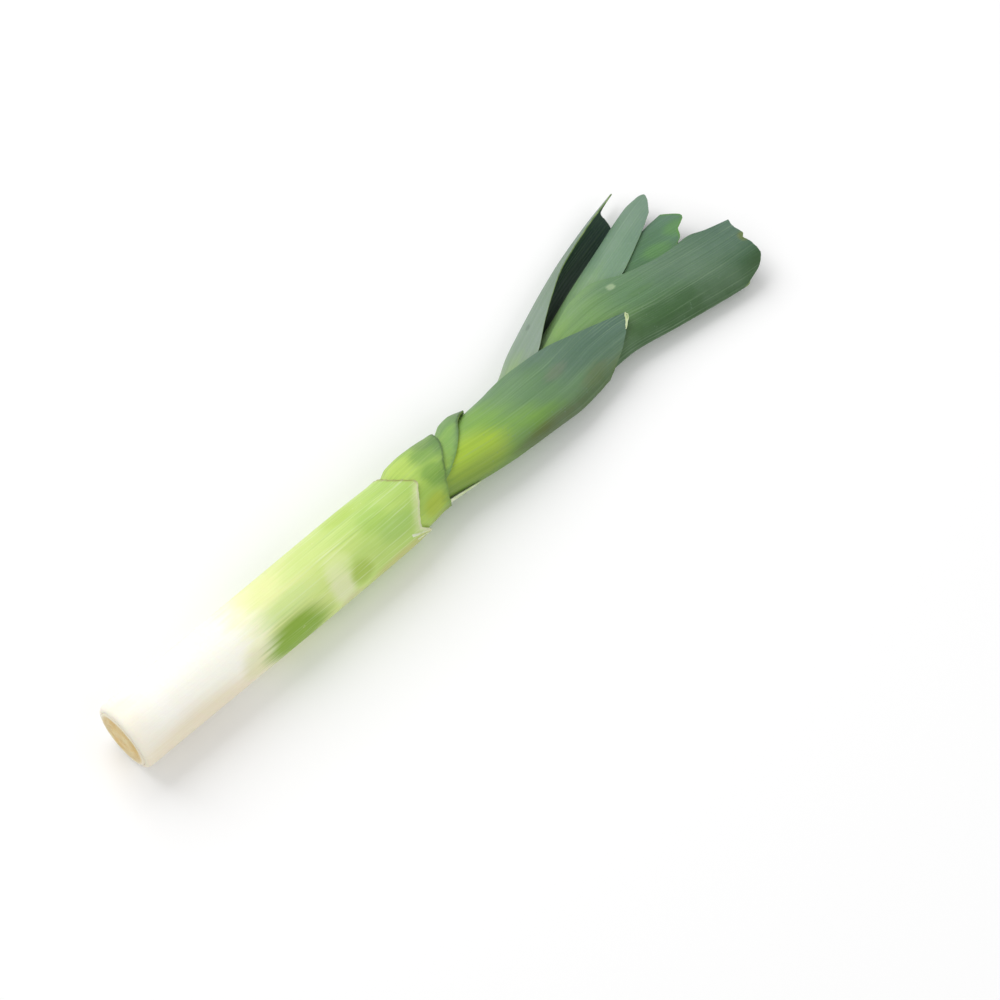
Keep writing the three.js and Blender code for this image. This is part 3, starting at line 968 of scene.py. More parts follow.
@dataclass(frozen=True)
class RootFinish:
    """The cut root plate: tan, with rings and rows of small root ends."""

    name: str = "root plate"
    tan: Colour = (238, 208, 142)
    pale: Colour = (244, 226, 178)
    brown: Colour = (190, 152, 94)
    rim: Colour = (248, 240, 218)
    ring_share: float = 0.16
    mark_share: float = 0.45

    def material(self, effects: Effects) -> bpy.types.Material:
        """Makes the material.

        Args:
            effects: the shared node groups.

        Returns:
            The material.
        """
        made, sheet = new_material(self.name)
        skin = sheet.map("skin")
        place = sheet.place()
        out, _, _ = sheet.split(skin)
        bloom = sheet.use(effects.bloom, Place=place, Patch=5.0).outputs
        spots = sheet.use(effects.spots, Place=place, Size=1.5, Amount=0.55).outputs
        uneven = sheet.noise(place, 260.0, 3)
        rings = sheet.math("MULTIPLY_ADD", uneven, 2.2, sheet.math("MULTIPLY", out, 62.0))
        wave = sheet.math("MULTIPLY_ADD", sheet.math("SINE", rings), 0.5, 0.5)
        colour = sheet.mix(bloom["Bloom"], linear(self.tan), linear(self.pale))
        colour = sheet.tint(wave, self.ring_share, colour, self.brown)
        colour = sheet.tint(spots["Mark"], self.mark_share, colour, self.brown)
        outward = sheet.math("MULTIPLY_ADD", uneven, 0.02, out)
        colour = sheet.mix(sheet.smooth(outward, 0.135, 0.163), colour, linear(self.rim))
        height = sheet.math("MULTIPLY_ADD", wave, 0.5, bloom["Grain"])
        height = sheet.math("ADD", height, spots["Mark"])
        rough = sheet.math("MULTIPLY_ADD", bloom["Grain"], 0.1, 0.72)
        shader(sheet, colour, rough, sheet.bumped(height, 0.6, 0.0006), 0.05)
        return made


@dataclass(frozen=True)
class Arm:
    """The upper or lower half of a folded leaf: where it opens, its side margin and its cut end."""

    mouth: float
    margin: SmoothCurve
    end: SmoothCurve


@dataclass(frozen=True)
class Leaf:
    """A folded leaf: a sleeve at its base that opens on the side away from its keel."""

    node: str
    slot: str
    keel: Keel
    hull: Hull
    upper: Arm
    lower: Arm
    straight_to: float
    outer: BladeFinish
    inner: BladeFinish
    edge: CutFinish
    seed: float
    thickness: float = 0.7
    start: float = 168.4
    row_length: float = 1.7
    tail_rows: int = 26
    columns: int = 88
    rib_height: float = 0.7
    rib_width: float = 2.6
    rib_from: float = 258.0
    rib_to: float = 290.0
    end_rag: float = 0.45

    def cut_end(self, arm: Arm, turn: float) -> float:
        """Where an arm is cut.

        Args:
            arm: the upper or the lower one.
            turn: 0 at the keel, 1 at the upper arm's margin and -1 at the lower one's.

        Returns:
            A distance from the root end.
        """
        return ragged_line(arm.end, abs(turn), self.end_rag, LEAF_RAG_LENGTH * turn, self.seed)

    def rib(self, x: float, from_keel: float) -> float:
        """How far the rib along the keel stands out."""
        fade = math.exp(-((from_keel / self.rib_width) ** 2))
        return self.rib_height * rise(x, self.rib_from, self.rib_to) * fade

    def point(self, row: int, column: int, straight_rows: int) -> SkinPoint:
        """The place of one corner of the leaf's skin.

        Args:
            row: counted from the base.
            column: counted from the lower arm's margin.
            straight_rows: how many rows lie square to the leek.

        Returns:
            The point.
        """
        turn = 2 * column / self.columns - 1
        arm, sign = (self.upper, 1) if turn >= 0 else (self.lower, -1)
        share = abs(turn)
        end = self.cut_end(arm, turn)
        tail = (row - straight_rows) / self.tail_rows
        if tail > 0:
            x = self.straight_to + tail * (end - self.straight_to)
        else:
            x = self.start + row / straight_rows * (self.straight_to - self.start)
        outline = arm_outline(self.hull, self.keel, x)
        closed = x < arm.mouth
        margin = -self.keel.value * BEYOND_ANY_LEAF if closed else arm.margin.at(x)
        reach = arm_reach(outline, self.keel, margin)
        from_keel = share * reach
        at = point_along(outline, from_keel)
        z = LIE.middle.at(x) + LIE.wave(x, at.y) + sign * at.z
        to_margin = FAR_FROM_EDGE if closed else (1 - share) * reach / MAP_UNIT
        return SkinPoint(
            x,
            at.y + self.rib(x, from_keel) * at.out,
            max(z, 0.0),
            (sign * from_keel / MAP_UNIT, x / MAP_UNIT),
            ((end - x) / MAP_UNIT, to_margin),
        )

    def build(self, effects: Effects) -> bpy.types.Object:
        """Builds the leaf and dresses it.

        Args:
            effects: the shared node groups.

        Returns:
            The leaf.
        """
        straight_rows = round((self.straight_to - self.start) / self.row_length)
        skin = Skin(straight_rows + self.tail_rows, self.columns)
        skin.bend(lambda row, column: self.point(row, column, straight_rows))
        if self.keel is Keel.LEFT:
            skin.turn_over()
        finishes = (self.outer, self.inner, self.edge)
        made = skin.piece(f"{self.node}_fine", [effects.dress(finish) for finish in finishes])
        thicken(made, self.thickness)
        attach(made, self.node)
        return made


@dataclass(frozen=True)
class Sheath:
    """A sleeve round the leaves whose far rim follows a trimmed line."""

    node: str
    slot: str
    hull: Hull
    rim: SmoothCurve
    outer: BladeFinish
    inner: BladeFinish
    edge: CutFinish
    seed: float
    thickness: float = 0.8
    start: float = 168.4
    rows: int = 48
    columns: int = 160
    rag: float = 0.5
    flare: float = 0.25
    flare_middle: float = 1.2

    def point(self, row: int, column: int) -> SkinPoint:
        """The place of one corner of the sheath's skin."""
        degrees = 270.0 + 360.0 * column / self.columns
        angle = degrees % 360.0
        rim = ragged_line(self.rim, angle, self.rag, angle / RIM_RAG_DEGREES, self.seed)
        x = self.start + row / self.rows * (rim - self.start)
        lifted = flared(x, rim, angle, self.flare, self.flare_middle, self.seed)
        y, z = self.hull.ring_point(x, angle, -lifted)
        round_length = math.radians(degrees) * SHEATH_MAP_RADIUS
        return SkinPoint(
            x, y, z, (round_length / MAP_UNIT, x / MAP_UNIT), ((rim - x) / MAP_UNIT, FAR_FROM_EDGE)
        )

    def build(self, effects: Effects) -> bpy.types.Object:
        """Builds the sheath and dresses it.

        Args:
            effects: the shared node groups.

        Returns:
            The sheath.
        """
        skin = Skin(self.rows, self.columns)
        skin.bend(self.point)
        skin.join_seam()
        skin.turn_over()
        finishes = (self.outer, self.inner, self.edge)
        made = skin.piece(f"{self.node}_fine", [effects.dress(finish) for finish in finishes])
        thicken(made, self.thickness)
        attach(made, self.node)
        return made


@dataclass(frozen=True)
class TornTongue:
    """A thin pale shred of skin that is left on a cut or trimmed edge, and that curls at its end."""

    name: str
    slot: str
    hull: Hull
    finish: CutFinish
    angle: float
    start: float
    length: float
    width: float
    lift: float
    curl: float
    lean: float
    seed: float
    thickness: float = 0.22
    rows: int = 26
    columns: int = 6

    def point(self, row: int, column: int) -> SkinPoint:
        """The place of one corner: it follows the ring, narrows to its end and lifts off there."""
        share = row / self.rows
        side = column / self.columns - 0.5
        x = self.start + share * self.length
        height = self.hull.half_height.at(x)
        uneven = 0.85 + 0.15 * ragged(9 * share + 4 * side, self.seed)
        narrow = math.sqrt(max(1.0 - share, 0.0)) * uneven
        degrees = self.angle + math.degrees((side * self.width * narrow + self.lean * share) / height)
        lifted = self.lift + self.curl * share * share + 0.15 * abs(side) * ragged(6 * share, self.seed)
        y, z = self.hull.ring_point(x, degrees % 360.0, -lifted)
        return SkinPoint(x, y, max(z, 0.3), (side * self.width / MAP_UNIT, x / MAP_UNIT))

    def build(self, effects: Effects) -> bpy.types.Object:
        """Builds the shred and dresses it.

        Args:
            effects: the shared node groups.

        Returns:
            The shred.
        """
        skin = Skin(self.rows, self.columns)
        skin.bend(self.point)
        skin.turn_over()
        made = skin.piece(self.name, [effects.dress(self.finish)] * 3)
        thicken(made, self.thickness)
        attach(made)
        return made


@dataclass(frozen=True)
class TornEdge:
    """A pale shred that curls over along the cut end of a leaf's upper arm."""

    name: str
    leaf: Leaf
    finish: CutFinish
    share_from: float
    share_to: float
    width: float
    roll: float = 1.9
    thickness: float = 0.22
    rows: int = 36
    columns: int = 8

    def point(self, row: int, column: int) -> SkinPoint:
        """The place of one corner: from the cut end outwards in a small roll."""
        along = row / self.rows
        share = self.share_from + along * (self.share_to - self.share_from)
        leaf = self.leaf
        end = leaf.cut_end(leaf.upper, share)
        outline = arm_outline(leaf.hull, leaf.keel, end)
        at = point_along(outline, share * arm_reach(outline, leaf.keel, leaf.upper.margin.at(end)))
        z = LIE.middle.at(end) + LIE.wave(end, at.y) + at.z
        taper = math.sin(math.pi * min(max(along, 0.02), 0.98)) ** 0.6
        reach = self.width * taper * (0.8 + 0.2 * ragged(11 * along, 3.0))
        turn = self.roll * column / self.columns
        radius = reach / self.roll
        x = end - 0.3 + radius * math.sin(turn)
        return SkinPoint(
            x, at.y, z + 0.05 + radius * (1 - math.cos(turn)), (along * 0.1, column / self.columns * 0.02)
        )

    def build(self, effects: Effects) -> bpy.types.Object:
        """Builds the shred and dresses it.

        Args:
            effects: the shared node groups.

        Returns:
            The shred.
        """
        skin = Skin(self.rows, self.columns)
        skin.bend(self.point)
        made = skin.piece(self.name, [effects.dress(self.finish)] * 3)
        thicken(made, self.thickness)
        attach(made)
        return made


def attach(piece: bpy.types.Object, node: str = "") -> None:
    """Sets a finished piece on the leek, hides the solid that it stands for and reports it.

    Args:
        piece: the fine piece.
        node: the solid that it stands for, if it stands for one.
    """
    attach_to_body(piece, "root")
    if node:
        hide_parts(node)
    log.info("%s: %d panels", piece.name, len(piece.data.polygons))


class Stretch(Enum):
    """The stretches of the shaft's outline, from the middle of its seat to that of the pocket floor."""

    SEAT = "seat"
    MOUTH = "mouth"
    EDGE = "edge"
    SKIN = "skin"
    WALL = "wall"
    FLOOR = "floor"


@dataclass(frozen=True)
class Shaft:
    """The round shaft, from the seat of the root plate to its trimmed rim and the pocket in it."""

    outer: "ShaftFinish"
    hull: Hull
    rim: SmoothCurve
    seat_radius: float = 15.72
    edge_length: float = 2.8
    edge_depth: float = 2.0
    seat_depth: float = 2.0
    skin_depth: float = 0.02
    wall: float = 1.1
    pocket_floor: float = 168.0
    pocket_middle: float = 0.6
    columns: int = 180
    edge_rows: int = 6
    skin_rows: int = 110
    wall_rows: int = 8
    rag: float = 0.5
    flare: float = 0.3
    flare_middle: float = 1.3
    flare_seed: float = 2.0
    seed: float = 1.7

    def profile(self) -> list[tuple[Stretch, float]]:
        """The rows of the shaft, from the middle of the seat to the middle of the pocket floor."""
        rows = [(Stretch.SEAT, 0.0), (Stretch.SEAT, 0.5), (Stretch.SEAT, 1.0)]
        rows += [(Stretch.MOUTH, 0.5), (Stretch.MOUTH, 1.0)]
        rows += [(Stretch.EDGE, row / self.edge_rows) for row in range(self.edge_rows + 1)]
        rows += [(Stretch.SKIN, row / self.skin_rows) for row in range(1, self.skin_rows + 1)]
        rows += [(Stretch.WALL, row / self.wall_rows) for row in range(self.wall_rows + 1)]
        rows += [(Stretch.FLOOR, 0.5), (Stretch.FLOOR, 1.0)]
        return rows

    def point(self, part: Stretch, share: float, column: int) -> SkinPoint:
        """The place of one corner of the shaft.

        Args:
            part: which stretch of the profile it is on.
            share: how far along that stretch.
            column: counted round the shaft from underneath.

        Returns:
            The point.
        """
        degrees = 270.0 + 360.0 * column / self.columns
        angle = degrees % 360.0
        turn = math.radians(degrees)
        rim = ragged_line(self.rim, angle, self.rag, angle / RIM_RAG_DEGREES, self.seed)
        to_rim = FAR_FROM_EDGE
        if part in (Stretch.SEAT, Stretch.MOUTH):
            radius = self.seat_radius * (share if part is Stretch.SEAT else 1.0)
            x = self.seat_depth if part is Stretch.SEAT else self.seat_depth * (1 - share)
            y = radius * math.cos(turn)
            z = LIE.axis_height + radius * math.sin(turn)
        elif part is Stretch.FLOOR:
            x = self.pocket_floor
            y, z = self.hull.ring_point(x, angle, self.wall)
            y += share * (self.pocket_middle - y)
            z += share * (LIE.axis_height - z)
        elif part is Stretch.EDGE:
            x = self.edge_length * (1 - math.cos(share * math.pi / 2))
            depth = self.skin_depth + self.edge_depth * (1 - math.sin(share * math.pi / 2))
            y, z = self.hull.ring_point(x, angle, depth)
        else:
            outside = part is Stretch.SKIN
            start, end = (self.edge_length, rim) if outside else (rim, self.pocket_floor)
            x = start + share * (end - start)
            depth = self.skin_depth if outside else self.wall
            depth -= flared(x, rim, angle, self.flare, self.flare_middle, self.flare_seed)
            y, z = self.hull.ring_point(x, angle, depth)
            to_rim = (rim - x) / MAP_UNIT
        across = turn * self.outer.radius / MAP_UNIT
        return SkinPoint(x, y, max(z, 0.0), (across, x / MAP_UNIT), (to_rim, FAR_FROM_EDGE))

    def build(self, effects: Effects) -> bpy.types.Object:
        """Builds the shaft and dresses it.

        Args:
            effects: the shared node groups.

        Returns:
            The shaft.
        """
        profile = self.profile()
        skin = Skin(len(profile) - 1, self.columns)
        skin.bend(lambda row, column: self.point(*profile[row], column))
        skin.join_seam()
        bmesh.ops.recalc_face_normals(skin.mesh, faces=skin.mesh.faces)
        made = skin.piece("shaft_fine", [effects.dress(self.outer)])
        attach(made, "shaft")
        return made


@dataclass(frozen=True)
class ShaftFinish:
    """The skin of the shaft: white, then streaked with green up to the rim."""

    name: str = "shaft skin"
    along: tuple[tuple[float, Colour], ...] = (
        (0, (250, 245, 230)),
        (16, (253, 251, 241)),
        (62, (253, 252, 238)),
        (78, (244, 245, 208)),
        (94, (224, 233, 158)),
        (124, (206, 225, 134)),
        (156, (186, 214, 112)),
        (188, (170, 203, 98)),
    )
    green: Colour = (134, 172, 62)
    white: Colour = (244, 246, 232)
    cream: Colour = (238, 230, 208)
    rim_brown: Colour = (146, 118, 78)
    rim_pale: Colour = (226, 226, 190)
    radius: float = 18.6
    streak_share: float = 0.3
    vein_share: float = 0.3
    cream_share: float = 0.3
    mark_share: float = 0.2
    dry_share: float = 0.5
    rim_share: float = 0.62

    def patches(self) -> tuple[Patch, ...]:
        """The patches of colour, from the root end to the rim."""
        return (
            # Painted shade: a beige darkening of the right side near the root, turned away from the light
            Patch(ring_place(186, self.radius), 34, 16, 52, (230, 216, 184), 0.8, 0.4),
            Patch(ring_place(160, self.radius), 71, 10, 11, (214, 214, 154), 0.5, 0.7),
            Patch(ring_place(168, self.radius), 96, 16, 23, (134, 170, 46), 0.98, 0.8),
            Patch(ring_place(112, self.radius), 98, 6, 22, (196, 222, 138), 0.55, 1.2),
            Patch(ring_place(148, self.radius), 127, 14, 8, (226, 230, 186), 0.75, 0.8),
            Patch(ring_place(192, self.radius), 130, 8, 10, (206, 204, 150), 0.6, 0.7),
            Patch(ring_place(150, self.radius), 139, 8, 8, (160, 188, 66), 0.7, 0.9),
            # Painted shade: an olive beige darkening of the right side under the rim
            Patch(ring_place(192, self.radius), 164, 9, 26, (194, 188, 116), 0.7, 0.6),
            Patch(ring_place(60, self.radius), 92, 14, 14, (234, 238, 168), 0.6, 0.9),
            Patch(ring_place(8, self.radius), 40, 8, 48, (250, 245, 210), 0.7, 0.5),
            Patch(ring_place(118, self.radius), 130, 9, 9, (222, 234, 168), 0.5, 1.0),
            Patch(ring_place(95, self.radius), 158, 9, 10, (158, 198, 84), 0.5, 1.5),
            Patch(ring_place(128, self.radius), 166, 8, 13, (150, 192, 92), 0.45, 1.5),
            Patch(ring_place(48, self.radius), 148, 8, 12, (176, 206, 74), 0.5, 1.3),
            Patch(ring_place(330, self.radius), 112, 12, 26, (146, 182, 70), 0.6, 1.5),
            Patch(ring_place(245, self.radius), 128, 10, 20, (150, 184, 76), 0.5, 1.5),
        )

    def material(self, effects: Effects) -> bpy.types.Material:
        """Makes the material.

        Args:
            effects: the shared node groups.

        Returns:
            The material.
        """
        made, sheet = new_material(self.name)
        skin = sheet.map("skin")
        place = sheet.place()
        across, along, _ = sheet.split(skin)
        veins = sheet.use(effects.veins, Skin=skin, Spacing=1.7, Wander=5.0, Seed=2.0).outputs
        bloom = sheet.use(effects.bloom, Place=place, Patch=40.0).outputs
        edge = sheet.map("edge")
        cut = sheet.use(effects.cut, Edge=edge, Place=place, Width=2.2, Rag=1.6).outputs
        band = sheet.use(effects.cut, Edge=edge, Place=place, Width=7.0, Rag=4.0).outputs
        spots = sheet.use(effects.spots, Place=place, Size=2.0, Amount=0.24).outputs
        pull = sheet.math("MULTIPLY", sheet.math("SUBTRACT", veins["Broad"], 0.5), 0.1)
        fine_pull = sheet.math("MULTIPLY_ADD", sheet.math("SUBTRACT", veins["Streak"], 0.5), 0.035, pull)
        distance = sheet.math("MULTIPLY_ADD", along, MAP_UNIT / RAMP_REACH, fine_pull)
        colour = sheet.ramp(distance, self.along)
        for patch in self.patches():
            colour = patch.lay(sheet, effects, skin, veins["Streak"], colour)
        streaked = sheet.math(
            "MULTIPLY", sheet.smooth(veins["Streak"], 0.52, 0.74), sheet.smooth(along, 0.9, 1.5)
        )
        colour = sheet.tint(streaked, self.streak_share, colour, self.green)
        veined = sheet.math("MULTIPLY", veins["Vein"], sheet.smooth(along, 0.6, 1.4))
        colour = sheet.tint(veined, self.vein_share, colour, self.white)
        near_root = sheet.math("SUBTRACT", 1.0, sheet.smooth(along, 0.1, 0.9))
        creamy = sheet.math("MULTIPLY", bloom["Bloom"], near_root)
        colour = sheet.tint(creamy, self.cream_share, colour, self.cream)
        colour = sheet.tint(spots["Mark"], self.mark_share, colour, self.cream)
        turned = sheet.smooth(
            across, ring_place(88, self.radius) / MAP_UNIT, ring_place(104, self.radius) / MAP_UNIT
        )
        dry = sheet.math("MULTIPLY", band["End"], turned)
        colour = sheet.tint(dry, self.dry_share, colour, self.rim_pale)
        rim = sheet.mix(turned, linear(self.rim_brown), linear(self.rim_pale))
        colour = sheet.mix(sheet.math("MULTIPLY", cut["End"], self.rim_share), colour, rim)
        rough = sheet.math("MULTIPLY_ADD", bloom["Grain"], 0.14, 0.36)
        height = sheet.math("MULTIPLY_ADD", veins["Streak"], 0.5, sheet.math("MULTIPLY", veins["Ridge"], 0.4))
        height = sheet.math("MULTIPLY_ADD", bloom["Grain"], 0.08, height)
        shader(sheet, colour, rough, sheet.bumped(height, 0.22, 0.0005), 0.2)
        return made


@dataclass(frozen=True)
class RootPlate:
    """The thick disc of cut root tissue in its seat."""

    finish: RootFinish
    radius: float = 15.6
    back: float = 1.7
    front: float = -0.9
    dome: float = 0.5
    back_bevel: float = 0.4
    face_edge: float = 0.8
    face_drop: float = 0.25
    ring_depth: float = 0.16
    bump_depth: float = 0.1
    columns: int = 96
    face_rows: int = 36

    def profile(self) -> list[tuple[float, float]]:
        """Places along the leek and radii, from the middle of the back to the middle of the face."""
        inset = self.radius - self.back_bevel
        rows = [(self.back, 0.0), (self.back, self.radius * 0.5), (self.back, inset)]
        rows += [(self.back - self.back_bevel, self.radius), (self.front + 0.9, self.radius)]
        rows.append((self.front + 0.5, self.radius - 0.25))
        rows.append((self.front + self.face_drop, self.radius - self.face_edge))
        for row in range(1, self.face_rows + 1):
            share = row / self.face_rows
            x = self.front + self.face_drop - (self.dome + self.face_drop) * rise(share, 0.0, 1.0)
            rows.append((x, (self.radius - self.face_edge) * (1 - share)))
        return rows

    def point(self, x: float, radius: float, column: int, cut: bool) -> SkinPoint:
        """The place of one corner.

        Args:
            x: distance from the root end.
            radius: distance from the middle.
            column: counted round the plate.
            cut: whether it is on the cut face, with rings and small bumps that fade at its middle.

        Returns:
            The point.
        """
        turn = 2 * math.pi * column / self.columns
        if cut:
            face = rise(radius, 0.5, 3.0) * (1 - rise(radius, self.radius - 2.5, self.radius - 0.9))
            rings = math.sin(1.7 * radius + 0.6 * math.sin(5 * turn))
            bumps = ragged(3.0 * turn * max(1, round(radius / 4)), radius)
            x += self.ring_depth * face * (1 + rings)
            x += self.bump_depth * face * (1 + bumps)
        y = radius * math.cos(turn)
        z = LIE.axis_height + radius * math.sin(turn)
        return SkinPoint(x, y, z, (radius / MAP_UNIT, turn / MAP_UNIT))

    def build(self, effects: Effects) -> bpy.types.Object:
        """Builds the root plate and dresses it.

        Args:
            effects: the shared node groups.

        Returns:
            The root plate.
        """
        profile = self.profile()
        first_cut_row = len(profile) - self.face_rows
        skin = Skin(len(profile) - 1, self.columns)
        skin.bend(lambda row, column: self.point(*profile[row], column, row >= first_cut_row))
        skin.join_seam()
        bmesh.ops.recalc_face_normals(skin.mesh, faces=skin.mesh.faces)
        made = skin.piece("root_plate_fine", [effects.dress(self.finish)])
        attach(made, "root_plate")
        return made


@dataclass(frozen=True)
class SoftLight:
    """A soft square light that faces the middle of the picture."""

    name: str
    right: float
    ahead: float
    up: float
    size: float
    power: float


@dataclass(frozen=True)
class Studio:
    """The pale floor, the soft lights and the camera."""

    lens: float = 135.0
    sensor: float = 36.0
    azimuth: float = -43.056
    elevation: float = 63.0
    distance: float = 1.8528
    target: tuple[float, float, float] = (0.01765, -0.04392, 0.0)
    floor_colour: Colour = (250, 250, 250)
    floor_rough: float = 0.7
    floor_reach: float = 14.0
    floor_height: float = -0.0002
    room_light: float = 0.62
    lights: tuple[SoftLight, ...] = (
        SoftLight("key", -0.8, 0.8, 1.3, 1.5, 17.5),
        SoftLight("fill", 1.1, -0.9, 1.2, 1.4, 6.5),
    )

    def directions(self) -> tuple[Vector, Vector, Vector]:
        """The camera's right, its heading over the floor and its line of sight."""
        turn = math.radians(self.azimuth)
        tilt = math.radians(self.elevation)
        right = Vector((math.cos(turn), math.sin(turn), 0.0))
        ahead = Vector((-math.sin(turn), math.cos(turn), 0.0))
        sight = ahead * math.cos(tilt) - Vector((0.0, 0.0, math.sin(tilt)))
        return right, ahead, sight

    def place_camera(self) -> None:
        """Sets up the camera."""
        right, _, sight = self.directions()
        up = right.cross(sight)
        view = bpy.data.cameras.new("view")
        view.lens = self.lens
        view.sensor_width = self.sensor
        camera = bpy.data.objects.new("view", view)
        turned = Matrix((right, up, -sight)).transposed().to_4x4()
        camera.matrix_world = Matrix.Translation(Vector(self.target) - sight * self.distance) @ turned
        bpy.context.scene.collection.objects.link(camera)
        bpy.context.scene.camera = camera

    def place_light(self, soft: SoftLight) -> None:
        """Adds one light."""
        right, ahead, _ = self.directions()
        light = bpy.data.lights.new(soft.name, "AREA")
        light.size = soft.size
        light.energy = soft.power
        lamp = bpy.data.objects.new(soft.name, light)
        middle = Vector(self.target)
        lamp.location = middle + right * soft.right + ahead * soft.ahead + Vector((0, 0, soft.up))
        lamp.rotation_euler = (middle - lamp.location).to_track_quat("-Z", "Y").to_euler()
        bpy.context.scene.collection.objects.link(lamp)

    def build(self) -> None:
        """Builds the floor, the lights and the camera."""
        ground = bmesh.new()
        bmesh.ops.create_grid(ground, x_segments=1, y_segments=1, size=self.floor_reach)
        bmesh.ops.translate(ground, verts=ground.verts, vec=(0.0, 0.0, self.floor_height))
        data = bpy.data.meshes.new("floor")
        ground.to_mesh(data)
        ground.free()
        made, sheet = new_material("floor")
        surface = sheet.node("ShaderNodeBsdfPrincipled")
        surface.inputs["Base Color"].default_value = linear(self.floor_colour)
        surface.inputs["Roughness"].default_value = self.floor_rough
        output = sheet.node("ShaderNodeOutputMaterial")
        sheet.feed(output.inputs["Surface"], surface.outputs["BSDF"])
        data.materials.append(made)
        floor = bpy.data.objects.new("floor", data)
        bpy.context.scene.collection.objects.link(floor)
        world = bpy.data.worlds.new("soft room")
        world.use_nodes = True
        room = world.node_tree.nodes["Background"]
        room.inputs["Color"].default_value = (1.0, 1.0, 1.0, 1.0)
        room.inputs["Strength"].default_value = self.room_light
        bpy.context.scene.world = world
        bpy.context.scene.view_settings.view_transform = "Standard"
        for soft in self.lights:
            self.place_light(soft)
        self.place_camera()


# The inner face of the leaves darkens along them as painted shadow inside the folds
SHADED_LEAF_INSIDE = ((200, (120, 150, 70)), (262, (62, 88, 48)), (330, (38, 64, 50)), (420, (46, 74, 66)))
PALE_CUT = CutFinish("cut blade", (150, 174, 112), (106, 134, 78))
SHEATH_CUT = CutFinish("cut sheath", (132, 158, 82), (92, 118, 56))


def sheaths() -> list[Sheath]:
    """The second and the third sheath."""
    inside = BladeFinish(
        "sheath inside", ((168, (206, 218, 150)), (240, (170, 194, 110))), (220, 228, 176), (200, 214, 150),
        (150, 180, 90), vein_share=0.3, bloom_share=0.2, streak_share=0.15,
    )
    second = Sheath(
        "sheath_second",
        "sheath",
        Hull(
            curve((168, 17.4), (190, 17.5), (205, 18.6), (217, 18.9)),
            curve((168, -16.5), (186, -15.1), (199, -13.8), (208, -14.2), (217, -15.0)),
            curve((168, 17.0), (186, 16.2), (205, 15.5), (217, 15.3)),
            curve(
                (177.5, 0), (179.5, 0.3), (182, 1.7), (186, 3.5), (193.5, 4.2), (201.5, 3.3),
                (208, 2.4), (213, 1.3), (217, 0.4),
            ),
        ),
        curve(
            (0, 215.5), (21, 215.2), (62, 213.3), (100, 206.6), (130, 201.5), (162, 198.5),
            (184, 199.1), (225, 201), (270, 206), (320, 212.5), (360, 215.5),
        ),
        BladeFinish(
            "second sheath",
            ((176, (178, 206, 96)), (192, (158, 192, 82)), (208, (126, 164, 74)), (216, (104, 142, 76))),
            (186, 208, 128), (160, 186, 120), (120, 160, 80), vein_share=0.3, bloom_share=0.15,
            streak_share=0.35, end_colour=(66, 94, 44), end_share=0.75, end_width=1.8, seed=5.0,
            line_from=ring_place(84, SHEATH_MAP_RADIUS), line_to=ring_place(170, SHEATH_MAP_RADIUS),
            shade_share=0.4, shade_colour=(92, 128, 62), shade_width=6.0,
            patches=(
                Patch(ring_place(152, SHEATH_MAP_RADIUS), 190, 7, 9, (168, 186, 50), 0.75, 0.9),
                Patch(ring_place(104, SHEATH_MAP_RADIUS), 198, 7, 7, (104, 148, 62), 0.6, 1.2),
                Patch(ring_place(52, SHEATH_MAP_RADIUS), 188, 9, 9, (190, 216, 96), 0.6, 1.2),
                Patch(ring_place(36, SHEATH_MAP_RADIUS), 206, 8, 6, (112, 140, 84), 0.5, 1.0),
                Patch(ring_place(190, SHEATH_MAP_RADIUS), 192, 6, 9, (150, 158, 84), 0.5, 0.8),
            ),
        ),
        inside,
        SHEATH_CUT,
        seed=4.2,
    )
    third = Sheath(
        "sheath_third",
        "sheath",
        Hull(
            curve((168, 16.2), (190, 16.3), (216, 17.7), (238, 19.5)),
            curve((168, -15.3), (186, -13.9), (199, -12.6), (208, -13.5), (217, -14.9), (238, -17.6)),
            curve((168, 15.8), (186, 15.0), (205, 14.3), (238, 13.9)),
            curve(
                (210, 0), (215.5, 0.2), (218, 1.3), (222.5, 3.4), (228, 3.7), (231, 2.9), (234, 1.4),
                (236.5, 0.2), (238, 0),
            ),
        ),
        curve(
            (0, 238), (19, 236.8), (58, 226.9), (84, 219.3), (118, 206.8), (134, 199.5), (156, 196),
            (184, 196), (225, 198.5), (270, 212), (320, 230), (360, 238),
        ),
        BladeFinish(
            "third sheath",
            ((196, (150, 184, 80)), (214, (128, 170, 80)), (226, (112, 152, 84)), (238, (96, 128, 80))),
            (176, 200, 130), (146, 174, 124), (110, 150, 80), vein_share=0.3, bloom_share=0.2,
            streak_share=0.35, end_colour=(48, 72, 42), end_share=0.8, end_width=2.2, seed=8.0,
            line_from=ring_place(40, SHEATH_MAP_RADIUS), line_to=ring_place(92, SHEATH_MAP_RADIUS),
            shade_share=0.35, shade_colour=(84, 116, 76), shade_width=5.0,
        ),
        inside,
        SHEATH_CUT,
        seed=7.9,
    )
    return [second, third]


